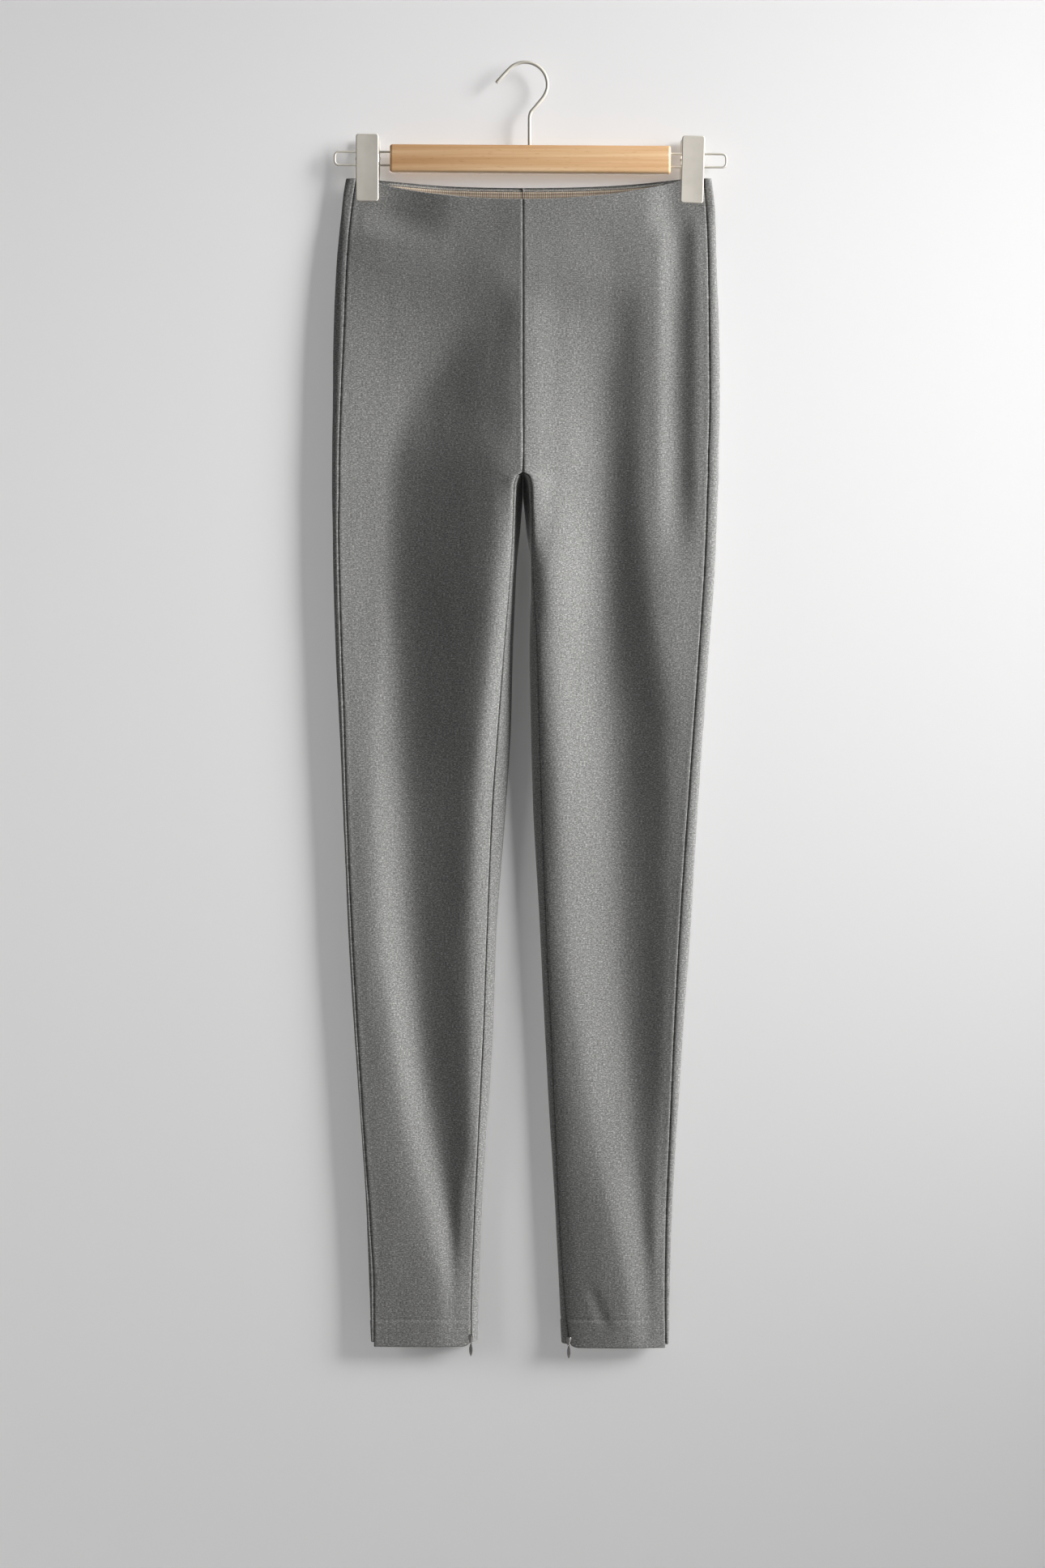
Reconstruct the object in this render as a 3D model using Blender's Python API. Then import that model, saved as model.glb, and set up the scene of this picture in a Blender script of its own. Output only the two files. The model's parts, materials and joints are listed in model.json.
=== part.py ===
"""High-waisted jersey leggings with ankle zips, hung by two clips on a wooden trouser hanger.

Metres, +Z up. The front of the leggings faces -Y, and left and right are as seen from the front.
The origin is the underside of the hook's crown, where a peg or a rail holds the hanger.
Tables are in millimetres, as a pattern cutter would write them, and MM turns them into metres.
"""

import math
from bisect import bisect_right
from collections import namedtuple

import bmesh
import bpy
from mathutils import Matrix, Vector
from mathutils.geometry import interpolate_bezier

MM = 0.001

# Cloth
WALL = 1.2  # double jersey
SEAM_GAP = 0.3  # left between two pieces at a seam
HEM_TOP = -1084.0  # the cloth is turned up inside below this height
HEM_STEP = 2.0  # over which the turned-up edge begins
CENTRE_X = -1.0  # of the centre front and centre back seams
WAIST_Z = -99.0
WAIST_FADE = 126.0  # how far down the sag of the waist edge is felt
SAG_CENTRE, SAG_HALF, SAG_POWER = 1.0, 138.0, 0.85  # the edge hangs free between the clips
SAG_FRONT, SAG_BACK = 18.0, 8.5
TURN_LENGTH = 9.0  # a turn of one radian takes as many steps as this length
FRONT_COLUMNS, BACK_COLUMNS = 13, 17
KEY_STEPS = 10  # dense points between two key points of a section

# Waist tape and zip tapes
TAPE_THICK = 0.8
TAPE_TOP, TAPE_DEEP = 4.0, 10.0
TAPE_REACH = (-139.0, 149.0)
ZIP_TAPE_THICK, ZIP_TAPE_COLUMNS = 0.6, 3  # columns of the cloth that each half covers
ZIP_TOP = -995.0

# Zip sliders and pulls
SLIDER_WIDE, SLIDER_TALL, SLIDER_DEEP = 4.2, 7.2, 2.2
SLIDER_ROUND = 0.7
SLIDER_OFF = 0.5  # clear of the cloth
ZIP_SLIDER_UP = {"left": 6.9, "right": 6.0}  # the slider's middle above the hem's edge
HINGE_OFF = 0.75  # hinge axis in front of the slider's face
HINGE_UP = 1.9  # hinge axis above the slider's foot
BRIDGE_RADIUS, BRIDGE_WIRE = 1.5, 0.35
PULL_THICK, PULL_LONG = 0.6, 12.9
PULL_NECK, PULL_BELLY = 1.25, 1.5
PULL_HOLE = 0.65

# Hanger
HANGER_TILT = 0.35  # degrees, right end lower
BAR_CENTRE = (5.3, 0.0, -82.6)
BAR_SIZE = (242.6, 11.0, 24.0)
BAR_ROUND = 2.6
LOOP_WIRE, LOOP_RISE, LOOP_CORNER = 0.95, 5.7, 3.6
LOOP_DEEP = 12.0  # how far a loop's ends go into the bar
LOOP_REACH = {"left": -169.9, "right": 170.2}  # from the bar's centre
HOOK_WIRE = 1.5
HOOK_CENTRE, HOOK_RADIUS = (0.9, -17.7), 19.2
HOOK_ARC = (-39.0, 137.0)
HOOK_TIP = 16.2
HOOK_STEM = ((4.6, -80.0), (4.6, -47.0), (4.9, -44.4), (5.8, -42.0), (7.3, -39.9))
HOLE_SLACK = 0.3

# Clips, from the pivot pin's centre: +Z up, -Y to the front
CLIP_WIDE, CLIP_TOP, CLIP_FOOT = 19.6, 20.0, -38.2
PLATE_THICK, PLATE_FACE = 1.5, 9.6  # the face's distance in front of the pin
PLATE_ROUND = 0.6
PAD_TALL, PAD_BITE = 9.0, 2.95  # the pad's face stops this far from the middle
PAD_INSET = 1.0
CHEEK_THICK, CHEEK_TALL, CHEEK_PAST = 1.1, 7.2, 2.6
CHEEK_INSET = 0.2
PIN_RADIUS, PIN_LONG = 1.2, 22.0
SPRING_RADIUS, SPRING_LONG = 3.1, 12.0
# Along the bar, and the tilt in degrees
CLIP_PLACES = {"left": (-140.2, -0.35), "right": (140.0, 1.25)}
PINCH_FLAT, PINCH_END = 16.0, 27.0  # half widths of the stretch that a clip presses flat
PINCH_LOW, PINCH_FREE = -122.5, -158.0  # pressed flat above the first, free below the second
PINCH_Y = 2.5
PINCH_X = {"left": -134.9, "right": 144.4}

# One row for each height. x of the outer fold, then points on the front from the side seam to
# the centre or inseam: a soft ridge, a trough and a crest, each as x and y.
Front = namedtuple("Front", "z seam seam_y ridge ridge_y trough trough_y crest crest_y inseam inseam_y")
# x of the outer and inner fold, y of the back near the side and in its middle, the inner back
# corner, and how far the crotch seam has come from back (0) to front (1).
Back = namedtuple("Back", "z edge flank back corner corner_y inner wrap")

LEFT_FRONT = [
    Front(-99, -145, -3, -123, -4, -60, -9, -26, -11, -1, -12),
    Front(-130, -149.5, -6, -123, -8, -60, -12, -26, -14, -1, -15),
    Front(-175, -153, -8, -123, -10, -60, -13, -24, -16, -1, -17),
    Front(-225, -155, -10, -117, -9, -61, -9, -26, -13, -1, -17),
    Front(-295, -158, -11.5, -123, -7, -88, -4, -40, -12, -1, -20),
    Front(-354, -159.5, -12, -130, -7, -109, -5.5, -60, -15, -1, -26),
    Front(-358, -159.5, -12, -130, -7, -109, -5.5, -60, -15, -6, -26.5),
    Front(-367, -159.5, -12, -130, -7, -110, -5, -57, -16, -8.5, -26),
    Front(-400, -160, -12, -130, -6.5, -112, -4, -50, -18, -9.5, -24),
    Front(-435, -159.5, -12, -132, -6.5, -112, -3.5, -24, -23, -11.5, -20),
    Front(-505, -157.5, -11, -129, -5, -108, -1.5, -30, -19, -17, -14),
    Front(-575, -155, -11, -140, -9, -106, -1, -36, -16, -22.5, -10),
    Front(-645, -153, -10, -139, -9, -101, 1, -42, -11.5, -27.5, -6),
    Front(-750, -148.5, -9.5, -133, -9, -96, 2, -45.5, -8.5, -32, -4),
    Front(-855, -142.5, -9, -121, -9, -87, 2, -46, -7, -36, -4),
    Front(-925, -138, -9, -111, -9, -75.5, 0.5, -46, -6, -39.5, -4.5),
    Front(-995, -133, -8.5, -93, -9, -65, -1, -54, -3.5, -43, -2.5),
    Front(-1065, -129.5, -8.5, -75, -9.5, -61, -8, -53, -7, -45.5, -5),
    Front(-1107, -129.5, -8.5, -75, -9.5, -60, -9, -53, -8, -46, -6.5),
]
LEFT_BACK = [
    Back(-99, -154.5, 3, 8, -1, 8, -1, 0),
    Back(-130, -158, 7, 12, -1, 12, -1, 0),
    Back(-175, -162, 7, 11.5, -1, 11.5, -1, 0),
    Back(-225, -164, 8, 12.5, -1, 12.5, -1, 0),
    Back(-295, -165, 9, 13, -1, 12.5, -1, 0),
    Back(-325, -165.5, 9, 13, -1, 12, -1, 0.08),
    Back(-345, -165.5, 9, 13.5, -1, 11.5, -1, 0.5),
    Back(-354, -165.5, 9, 13.5, -1, 11, -1, 0.8),
    Back(-358, -165.5, 9, 13.5, -1.5, 11, -3, 1),
    Back(-367, -165.5, 9, 13.5, -1.5, 10.5, -5, 1),
    Back(-400, -165, 9, 13.5, -4, 10.5, -6.5, 1),
    Back(-435, -164.5, 9, 13.5, -8, 10.5, -7.5, 1),
    Back(-505, -162.5, 9, 13.5, -12, 10, -10, 1),
    Back(-575, -159, 8, 13.5, -14, 10, -12, 1),
    Back(-645, -156, 8, 13.5, -18, 10, -16.5, 1),
    Back(-750, -151.5, 7.5, 13, -26, 9.5, -24, 1),
    Back(-855, -145, 7, 12.5, -30, 9, -28, 1),
    Back(-995, -135.5, 6, 11.5, -39, 8.5, -37, 1),
    Back(-1107, -131.5, 5, 10, -43, 8, -40.5, 1),
]
RIGHT_FRONT = [
    Front(-99, 155, -3, 121, -5, 65, -9, 30, -11, -1, -12),
    Front(-130, 157.5, -5.5, 110, -10, 65, -12, 30, -14, -1, -15),
    Front(-175, 159, -6.5, 106.5, -12, 72, -12.5, 30, -15.5, -1, -17),
    Front(-225, 159.5, -7, 105.5, -10, 75, -7, 30, -12, -1, -17),
    Front(-295, 160, -8, 105.5, -10, 70.5, -5, 30, -13, -1, -20),
    Front(-354, 158.5, -9.5, 104.5, -12, 70, -6, 30, -17, -1, -26),
    Front(-358, 158.5, -9.5, 104.5, -12, 70, -6, 30, -17, 4, -26.5),
    Front(-367, 158, -9.5, 104.5, -12, 70, -6, 29, -18, 6, -26),
    Front(-400, 157, -9.5, 106, -12, 70, -5, 26, -21, 7, -24),
    Front(-435, 155.5, -9.5, 109, -12, 70.5, -4, 20, -24, 7.5, -20),
    Front(-505, 151, -9, 116.5, -10.5, 73.5, -1, 22.5, -19, 11, -17),
    Front(-575, 146, -8, 125, -7.5, 78, 2, 25, -15.5, 13, -13),
    Front(-645, 141, -7, 125, -6, 80.5, 3, 28, -12, 15, -9),
    Front(-750, 134, -6, 124, -5, 85.5, 3, 33.5, -9.5, 19, -7),
    Front(-855, 128.5, -5.5, 120, -5, 91, 1, 45.5, -9.5, 24, -6),
    Front(-925, 125.5, -6, 116, -6, 95, -3, 56.5, -10, 27, -5.5),
    Front(-995, 122.5, -6, 113, -7.5, 101, -6.5, 73, -11, 30, -5.5),
    Front(-1065, 121.5, -7, 115, -8, 105, -9, 86, -11.5, 35, -5.5),
    Front(-1108, 122, -7, 116, -8, 107, -9.5, 88, -9.5, 39, -6.5),
]
RIGHT_BACK = [
    Back(-99, 162.5, 3, 8, -1, 8, -1, 0),
    Back(-130, 165.5, 7, 12, -1, 12, -1, 0),
    Back(-175, 166.5, 7, 11.5, -1, 11.5, -1, 0),
    Back(-225, 168, 8, 12.5, -1, 12.5, -1, 0),
    Back(-295, 169, 9, 13, -1, 12.5, -1, 0),
    Back(-325, 168.5, 9, 13, -1, 12, -1, 0.08),
    Back(-345, 168, 9, 13.5, -1, 11.5, -1, 0.5),
    Back(-354, 168, 9, 13.5, -1, 11, -1, 0.8),
    Back(-358, 168, 9, 13.5, -0.5, 11, 1, 1),
    Back(-367, 167.5, 9, 13.5, -0.5, 10.5, 3, 1),
    Back(-400, 166, 9, 13.5, 2, 10.5, 5, 1),
    Back(-435, 164.5, 9, 13.5, 7, 10.5, 5.5, 1),
    Back(-505, 159.5, 9, 13.5, 7.5, 10, 4.5, 1),
    Back(-575, 154.5, 8, 13.5, 8.5, 10, 6, 1),
    Back(-645, 150, 8, 13.5, 11, 10, 8, 1),
    Back(-750, 143.5, 7.5, 13, 16, 9.5, 14, 1),
    Back(-855, 136, 7, 12.5, 21, 9, 19, 1),
    Back(-995, 127.5, 6, 11.5, 29, 8.5, 27, 1),
    Back(-1108, 124, 5, 10, 35, 8, 33, 1),
]
FORK_Z = -356.0  # the inseams begin here

# Folds that a clip pulls into the front: x and z of both ends, half width, and depth into the cloth
Fold = namedtuple("Fold", "x0 z0 x1 z1 half deep")
FOLDS = {
    "left": [Fold(-118, -125, -106, -240, 9, 1.5)],
    "right": [Fold(134, -150, 142, -450, 12, 4.0), Fold(116, -120, 121, -210, 7, 2.0)],
}

# Heights of the cloth's sections above the hem
LEVELS = [
    -99, -103, -113, -123, -137, -155, -180, -210, -250, -295, -325, -345, -354, -358, -367,
    -382, -400, -435, -505, -575, -645, -750, -855, -925, -995, -1040, -1080, -1084,
]
SIDES = {"left": (LEFT_FRONT, LEFT_BACK), "right": (RIGHT_FRONT, RIGHT_BACK)}


def clear_scene():
    for thing in list(bpy.data.objects):
        bpy.data.objects.remove(thing, do_unlink=True)


def collection(name):
    made = bpy.data.collections.new(name)
    bpy.context.scene.collection.children.link(made)
    return made


def material(name, colour, roughness, metallic=0.0):
    made = bpy.data.materials.new(name)
    made.use_nodes = True
    shader = made.node_tree.nodes["Principled BSDF"]
    shader.inputs["Base Color"].default_value = (*colour, 1.0)
    shader.inputs["Roughness"].default_value = roughness
    shader.inputs["Metallic"].default_value = metallic
    return made


def add_object(name, data, into, finish=None, parent=None):
    made = bpy.data.objects.new(name, data)
    into.objects.link(made)
    if finish:
        data.materials.append(finish)
    if parent:
        made.parent = parent
    return made


# The garment's sections


def smooth_rise(t):
    t = min(1.0, max(0.0, t))
    return t * t * (3 - 2 * t)


def slopes_of(heights, values):
    """Slopes for a cubic that never overshoots the values it passes through."""
    steps = [(b - a) / (q - p) for p, q, a, b in zip(heights, heights[1:], values, values[1:])]
    inner = [2 * a * b / (a + b) if a * b > 0 else 0.0 for a, b in zip(steps, steps[1:])]
    return [steps[0], *inner, steps[-1]]


def read_table(rows, z):
    """The row of a table at any height, by that cubic down each column."""
    rows = list(reversed(rows))
    heights = [row.z for row in rows]
    z = min(max(z, heights[0]), heights[-1])
    at = min(bisect_right(heights, z), len(rows) - 1) - 1
    span = heights[at + 1] - heights[at]
    t = (z - heights[at]) / span
    found = []
    for column in range(1, len(rows[0])):
        values = [row[column] for row in rows]
        slopes = slopes_of(heights, values)
        a, b = values[at], values[at + 1]
        p, q = slopes[at] * span, slopes[at + 1] * span
        found.append(a + t * (p + t * (3 * (b - a) - 2 * p - q + t * (p + q - 2 * (b - a)))))
    return type(rows[0])(z, *found)


def curve_through(points, before, after):
    """Points on a centripetal Catmull-Rom curve, and the index of each key point among them."""
    keys = [Vector(p) for p in (before, *points, after)]
    made, marks = [], []
    for a, b, c, d in zip(keys, keys[1:], keys[2:], keys[3:]):
        first, span, last = (max((q - p).length, 0.01) ** 0.5 for p, q in ((a, b), (b, c), (c, d)))
        leaving = ((b - a) / first - (c - a) / (first + span) + (c - b) / span) * span
        arriving = ((c - b) / span - (d - b) / (span + last) + (d - c) / last) * span
        marks.append(len(made))
        made += interpolate_bezier(b, b + leaving / 3, c - arriving / 3, c, KEY_STEPS + 1)[:-1]
    marks.append(len(made))
    made.append(keys[-2])
    return made, marks


def section_keys(side, z):
    """The key points of one side's section, from the centre or inseam round the front to the back."""
    front, back = (read_table(rows, z) for rows in SIDES[side])
    out = -1 if side == "left" else 1
    below = z < FORK_Z
    centre = CENTRE_X + out * SEAM_GAP / 2
    start = (front.inseam if below else centre, front.inseam_y)
    corner = (back.corner if below else centre, back.corner_y)
    wide = corner[0] - back.edge
    keys = [start, (front.crest, front.crest_y), (front.trough, front.trough_y)]
    keys += [(front.ridge, front.ridge_y), (front.seam, front.seam_y), (back.edge, 0.0)]
    keys += [(back.edge + 0.035 * wide, 0.62 * back.flank), (back.edge + 0.16 * wide, back.flank)]
    keys += [(back.edge + 0.5 * wide, back.back)]
    keys += [(back.edge + 0.85 * wide, 0.7 * back.back + 0.3 * back.corner_y), corner]
    if below:
        keys += [(back.inner, (front.inseam_y + back.corner_y) / 2), start]
    elif back.wrap:
        keys.append((centre, back.corner_y + back.wrap * (front.inseam_y - back.corner_y)))
    return [Vector(key) for key in keys], out, below, back.wrap


def bell(t):
    return (1 - t * t) ** 2 if abs(t) < 1 else 0.0


def shaped(point, on_front, side, z):
    """A section's point after the clip has pressed the cloth flat and pulled folds into it."""
    x, y = point
    if on_front:
        for fold in FOLDS[side]:
            t = (z - fold.z0) / (fold.z1 - fold.z0)
            if 0 < t < 1:
                middle = fold.x0 + t * (fold.x1 - fold.x0)
                y += fold.deep * bell((x - middle) / fold.half) * smooth_rise(4 * min(t, 1 - t))
    beside = abs(x - PINCH_X[side])
    pressed = smooth_rise((PINCH_END - beside) / (PINCH_END - PINCH_FLAT))
    pressed *= smooth_rise((z - PINCH_FREE) / (PINCH_LOW - PINCH_FREE))
    x = min(x, CENTRE_X - SEAM_GAP / 2) if side == "left" else max(x, CENTRE_X + SEAM_GAP / 2)
    return Vector((x, y + pressed * (max(-PINCH_Y, min(PINCH_Y, y)) - y)))


def section(side, z):
    """Dense points of a section, its outward normals, and the index of the side seam."""
    keys, out, below, wrap = section_keys(side, z)
    if below:
        before, after = keys[-2], keys[1]
    else:
        before = Vector((2 * keys[0].x - keys[1].x, keys[1].y))
        after = 2 * keys[-1] - keys[-2] if wrap else Vector((2 * keys[-1].x - keys[-2].x, keys[-2].y))
    points, marks = curve_through(keys, before, after)
    seam = marks[4]
    points = [shaped(p, i <= seam, side, z) for i, p in enumerate(points)]
    ways = [(q - p).normalized() for p, q in zip(points, points[1:])]
    if below:
        first = last = (ways[0] + ways[-1]).normalized()
    else:
        first = Vector((out, 0.0))
        last = Vector((0.0, -1.0)) if wrap else Vector((-out, 0.0))
    tangents = [first, *((a + b).normalized() for a, b in zip(ways, ways[1:])), last]
    normals = [Vector((-t.y, t.x)) * -out for t in tangents]
    return points, normals, seam, below


def spread(points, normals, trim_start, trim_end, count):
    """Points and normals along a run, closer together where it turns, less a trim at each end."""
    lengths, weights = [0.0], [0.0]
    for i in range(1, len(points)):
        step = points[i] - points[i - 1]
        turn = abs(normals[i].angle(normals[i - 1], 0.0))
        lengths.append(lengths[-1] + step.length)
        weights.append(weights[-1] + step.length + TURN_LENGTH * turn)

    def located(values, wanted, other):
        at = min(max(bisect_right(values, wanted), 1), len(values) - 1)
        share = (wanted - values[at - 1]) / max(values[at] - values[at - 1], 1e-9)
        return at, share, other[at - 1] + share * (other[at] - other[at - 1])

    low = located(lengths, trim_start, weights)[2]
    high = located(lengths, lengths[-1] - trim_end, weights)[2]
    found = []
    for step in range(count):
        wanted = low + (high - low) * step / (count - 1)
        at, share, _ = located(weights, wanted, lengths)
        normal = normals[at - 1].lerp(normals[at], share).normalized()
        found.append((points[at - 1].lerp(points[at], share), normal))
    return found


def sagged(point, z):
    """A point in the round, lowered where the waist edge hangs free between the clips."""
    free = max(0.0, 1 - ((point.x - SAG_CENTRE) / SAG_HALF) ** 2) ** SAG_POWER
    near = smooth_rise(1 - (WAIST_Z - z) / WAIST_FADE)
    deep = SAG_FRONT if point.y < 0 else SAG_BACK
    return Vector((point.x, point.y, z - deep * free * near))


def columns_at(side, z):
    """The front's and the back's columns of points and normals at one height."""
    points, normals, seam, closed = section(side, z)
    half = SEAM_GAP / 2
    ends = half if closed else 0.0
    front = spread(points[: seam + 1], normals[: seam + 1], ends, half, FRONT_COLUMNS)
    back = spread(points[seam:], normals[seam:], half, ends, BACK_COLUMNS)
    return front, back


def skin(columns, z, inwards):
    """A row of points that lies a distance inside the cloth's outer face."""
    row = []
    for point, normal in columns:
        outer = sagged(point, z)
        row.append(outer - Vector((normal.x, normal.y, 0.0)) * inwards)
    return row


def split(a, b, c, d, rising):
    """A quad as two triangles; its diagonal falls towards +X, so that layers stay parallel."""
    return ((a, b, c), (a, c, d)) if rising else ((a, b, d), (b, c, d))


def wall_mesh(name, outer, inner):
    """A closed wall between two grids of points that have the same rows and columns."""
    shape = bmesh.new()
    grids = [[[shape.verts.new(p * MM) for p in row] for row in grid] for grid in (outer, inner)]
    rising = [[q.x > p.x for p, q in zip(row, row[1:])] for row in outer]
    faces = []
    for grid in grids:
        for up, down, ways in zip(grid, grid[1:], rising):
            for quad in zip(up, up[1:], down[1:], down, ways):
                faces += split(*quad)
    rims = [(grids[0][0], grids[1][0]), (grids[0][-1], grids[1][-1])]
    rims += [([row[end] for row in grids[0]], [row[end] for row in grids[1]]) for end in (0, -1)]
    for one, other in rims:
        faces += list(zip(one, one[1:], other[1:], other))
    for corners in faces:
        shape.faces.new(corners)
    bmesh.ops.recalc_face_normals(shape, faces=shape.faces)
    mesh = bpy.data.meshes.new(name)
    shape.to_mesh(mesh)
    shape.free()
    mesh.shade_smooth()
    mesh.set_sharp_from_angle(angle=math.radians(40))
    return mesh


def cloth_depth(z):
    """How far the cloth's inner face lies inside its outer face: two layers in the hem."""
    return WALL + (WALL + SEAM_GAP) * min(1.0, max(0.0, (HEM_TOP - z) / HEM_STEP))


def build_panels(side, into, finish):
    """The front and back of one side, each from the waist to the hem."""
    foot = SIDES[side][0][-1].z
    levels = [*LEVELS, HEM_TOP - HEM_STEP, foot]
    rows = {z: columns_at(side, z) for z in levels}
    for index, face in enumerate(("front", "back")):
        outer = [skin(rows[z][index], z, 0.0) for z in levels]
        inner = [skin(rows[z][index], z, cloth_depth(z)) for z in levels]
        name = f"{face}_{side}"
        add_object(name, wall_mesh(name, outer, inner), into, finish)
    return rows


def build_waist_tape(rows, into, finish):
    """The elastic tape sewn inside the waist edge, as its front and back lengths."""
    levels = [z for z in LEVELS if WAIST_Z - TAPE_TOP >= z >= WAIST_Z - TAPE_TOP - TAPE_DEEP]
    near, far = WALL + SEAM_GAP, WALL + SEAM_GAP + TAPE_THICK
    low, high = TAPE_REACH
    for index, face in enumerate(("front", "back")):
        grids, kept = [], []
        for inwards in (near, far):
            grid = []
            for z in levels:
                across = [column for side in SIDES for column in rows[side][z][index]]
                across.sort(key=lambda column: column[0].x)
                kept = kept or [i for i, c in enumerate(across) if low < c[0].x < high]
                grid.append(skin([across[i] for i in kept], z, inwards))
            grids.append(grid)
        name = f"waist_tape_{face}"
        add_object(name, wall_mesh(name, *grids), into, finish)


def build_zip_tape(side, rows, into, finish):
    """The tape behind the ankle zip, across the end of the inseam."""
    levels = [z for z in LEVELS if ZIP_TOP >= z > HEM_TOP]
    near, far = WALL + SEAM_GAP, WALL + SEAM_GAP + ZIP_TAPE_THICK
    grids = []
    for inwards in (near, far):
        grid = []
        for z in levels:
            front, back = rows[z]
            columns = [*back[-ZIP_TAPE_COLUMNS:-1], *front[:ZIP_TAPE_COLUMNS]]
            grid.append(skin(columns, z, inwards))
        grids.append(grid)
    name = f"zip_tape_{side}"
    add_object(name, wall_mesh(name, *grids), into, finish)


# Plain solids


def box_mesh(name, size, bevel, segments=2):
    """A block centred on its own origin, with its edges rounded."""
    shape = bmesh.new()
    bmesh.ops.create_cube(shape, size=1.0)
    bmesh.ops.scale(shape, vec=Vector(size) * MM, verts=shape.verts)
    if bevel:
        edges = list(shape.edges)
        bmesh.ops.bevel(
            shape, geom=edges, offset=bevel * MM, segments=segments, affect="EDGES", profile=0.5
        )
    mesh = bpy.data.meshes.new(name)
    shape.to_mesh(mesh)
    shape.free()
    mesh.shade_smooth()
    mesh.set_sharp_from_angle(angle=math.radians(40))
    return mesh


def rod_mesh(name, radius, long, sides=16):
    """A round rod along X, centred on its own origin."""
    shape = bmesh.new()
    turn = Matrix.Rotation(math.pi / 2, 4, "Y")
    bmesh.ops.create_cone(
        shape,
        cap_ends=True,
        segments=sides,
        radius1=radius * MM,
        radius2=radius * MM,
        depth=long * MM,
        matrix=turn,
    )
    mesh = bpy.data.meshes.new(name)
    shape.to_mesh(mesh)
    shape.free()
    mesh.shade_smooth()
    mesh.set_sharp_from_angle(angle=math.radians(40))
    return mesh


def wire(name, points, radius, into, finish=None, parent=None, sides=3):
    """A wire along a run of points, as a curve with filled ends."""
    curve = bpy.data.curves.new(name, "CURVE")
    curve.dimensions = "3D"
    spline = curve.splines.new("POLY")
    spline.points.add(len(points) - 1)
    for knot, point in zip(spline.points, points):
        knot.co = (*(Vector(point) * MM), 1.0)
    curve.bevel_depth = radius * MM
    curve.bevel_resolution = sides
    curve.use_fill_caps = True
    return add_object(name, curve, into, finish, parent)


def as_mesh(curve_object):
    """The same object as a mesh with its caps welded, which a Boolean can join or cut."""
    graph = bpy.context.evaluated_depsgraph_get()
    mesh = bpy.data.meshes.new_from_object(curve_object.evaluated_get(graph))
    shape = bmesh.new()
    shape.from_mesh(mesh)
    bmesh.ops.remove_doubles(shape, verts=shape.verts, dist=1e-6)
    shape.to_mesh(mesh)
    shape.free()
    made = bpy.data.objects.new(curve_object.name, mesh)
    for home in curve_object.users_collection:
        home.objects.link(made)
    made.parent = curve_object.parent
    made.matrix_basis = curve_object.matrix_basis
    name = curve_object.name
    bpy.data.objects.remove(curve_object, do_unlink=True)
    made.name = name
    return made


def as_tool(thing):
    """Marks an object as a cutter or an addition that isn't a piece by itself."""
    thing.hide_render = True
    thing.display_type = "WIRE"
    return thing


def cut_or_join(thing, tool, operation):
    step = thing.modifiers.new(f"{operation.lower()}_{tool.name}", "BOOLEAN")
    step.operation = operation
    step.object = tool


def arc(centre, radius, start, end, steps):
    """Points (a, b) on an arc, its angles in degrees."""
    angles = [math.radians(start + (end - start) * i / steps) for i in range(steps + 1)]
    return [(centre[0] + radius * math.cos(a), centre[1] + radius * math.sin(a)) for a in angles]


# Ankle zips


def zip_place(side):
    """The middle of the slider's front face, just in front of the inseam at the hem."""
    front = SIDES[side][0]
    foot = front[-1]
    beside = read_table(front, foot.z + ZIP_SLIDER_UP[side])
    face = min(beside.inseam_y, foot.inseam_y) - SLIDER_OFF - SLIDER_DEEP
    return Vector((beside.inseam, face, beside.z)) * MM


def build_slider(side, into, tools, finish):
    """The zip's slider, with the bridge that the pull hangs on."""
    name = f"zip_slider_{side}"
    body = box_mesh(name, (SLIDER_WIDE, SLIDER_DEEP, SLIDER_TALL), SLIDER_ROUND)
    body.transform(Matrix.Translation(Vector((0, SLIDER_DEEP / 2, 0)) * MM))
    slider = add_object(name, body, into, finish)
    slider.location = zip_place(side)
    up = HINGE_UP - SLIDER_TALL / 2
    inside = SLIDER_DEEP / 2
    bow = arc((-HINGE_OFF, up), BRIDGE_RADIUS, 90, 270, 10)
    route = [(0, inside, bow[0][1]), *((0, a, b) for a, b in bow), (0, inside, bow[-1][1])]
    bridge = as_mesh(wire(f"bridge_{side}", route, BRIDGE_WIRE, tools, sides=2))
    bridge.parent = slider
    as_tool(bridge)
    cut_or_join(slider, bridge, "UNION")
    return slider.location + Vector((0, -HINGE_OFF, up)) * MM


def build_pull(side, hinge, into, finish):
    """The pull tab, a flat drop with an eye, hanging from its hinge axis."""
    eye = (0.0, -BRIDGE_RADIUS)
    belly = (0.0, PULL_BELLY - PULL_LONG)
    outline = arc(eye, PULL_NECK, 0, 180, 8) + arc(belly, PULL_BELLY, 180, 360, 8)
    hole = arc(eye, PULL_HOLE, 360, 30, 11)
    name = f"zip_pull_{side}"
    curve = bpy.data.curves.new(name, "CURVE")
    curve.dimensions = "2D"
    curve.fill_mode = "BOTH"
    curve.extrude = PULL_THICK / 2 * MM
    for points in (outline, hole):
        spline = curve.splines.new("POLY")
        spline.points.add(len(points) - 1)
        for knot, (a, b) in zip(spline.points, points):
            knot.co = (a * MM, b * MM, 0.0, 1.0)
        spline.use_cyclic_u = True
    flat = add_object(name, curve, into, finish)
    pull = as_mesh(flat)
    pull.data.transform(Matrix.Rotation(math.pi / 2, 4, "X"))
    pull.location = hinge


# Hanger


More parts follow.
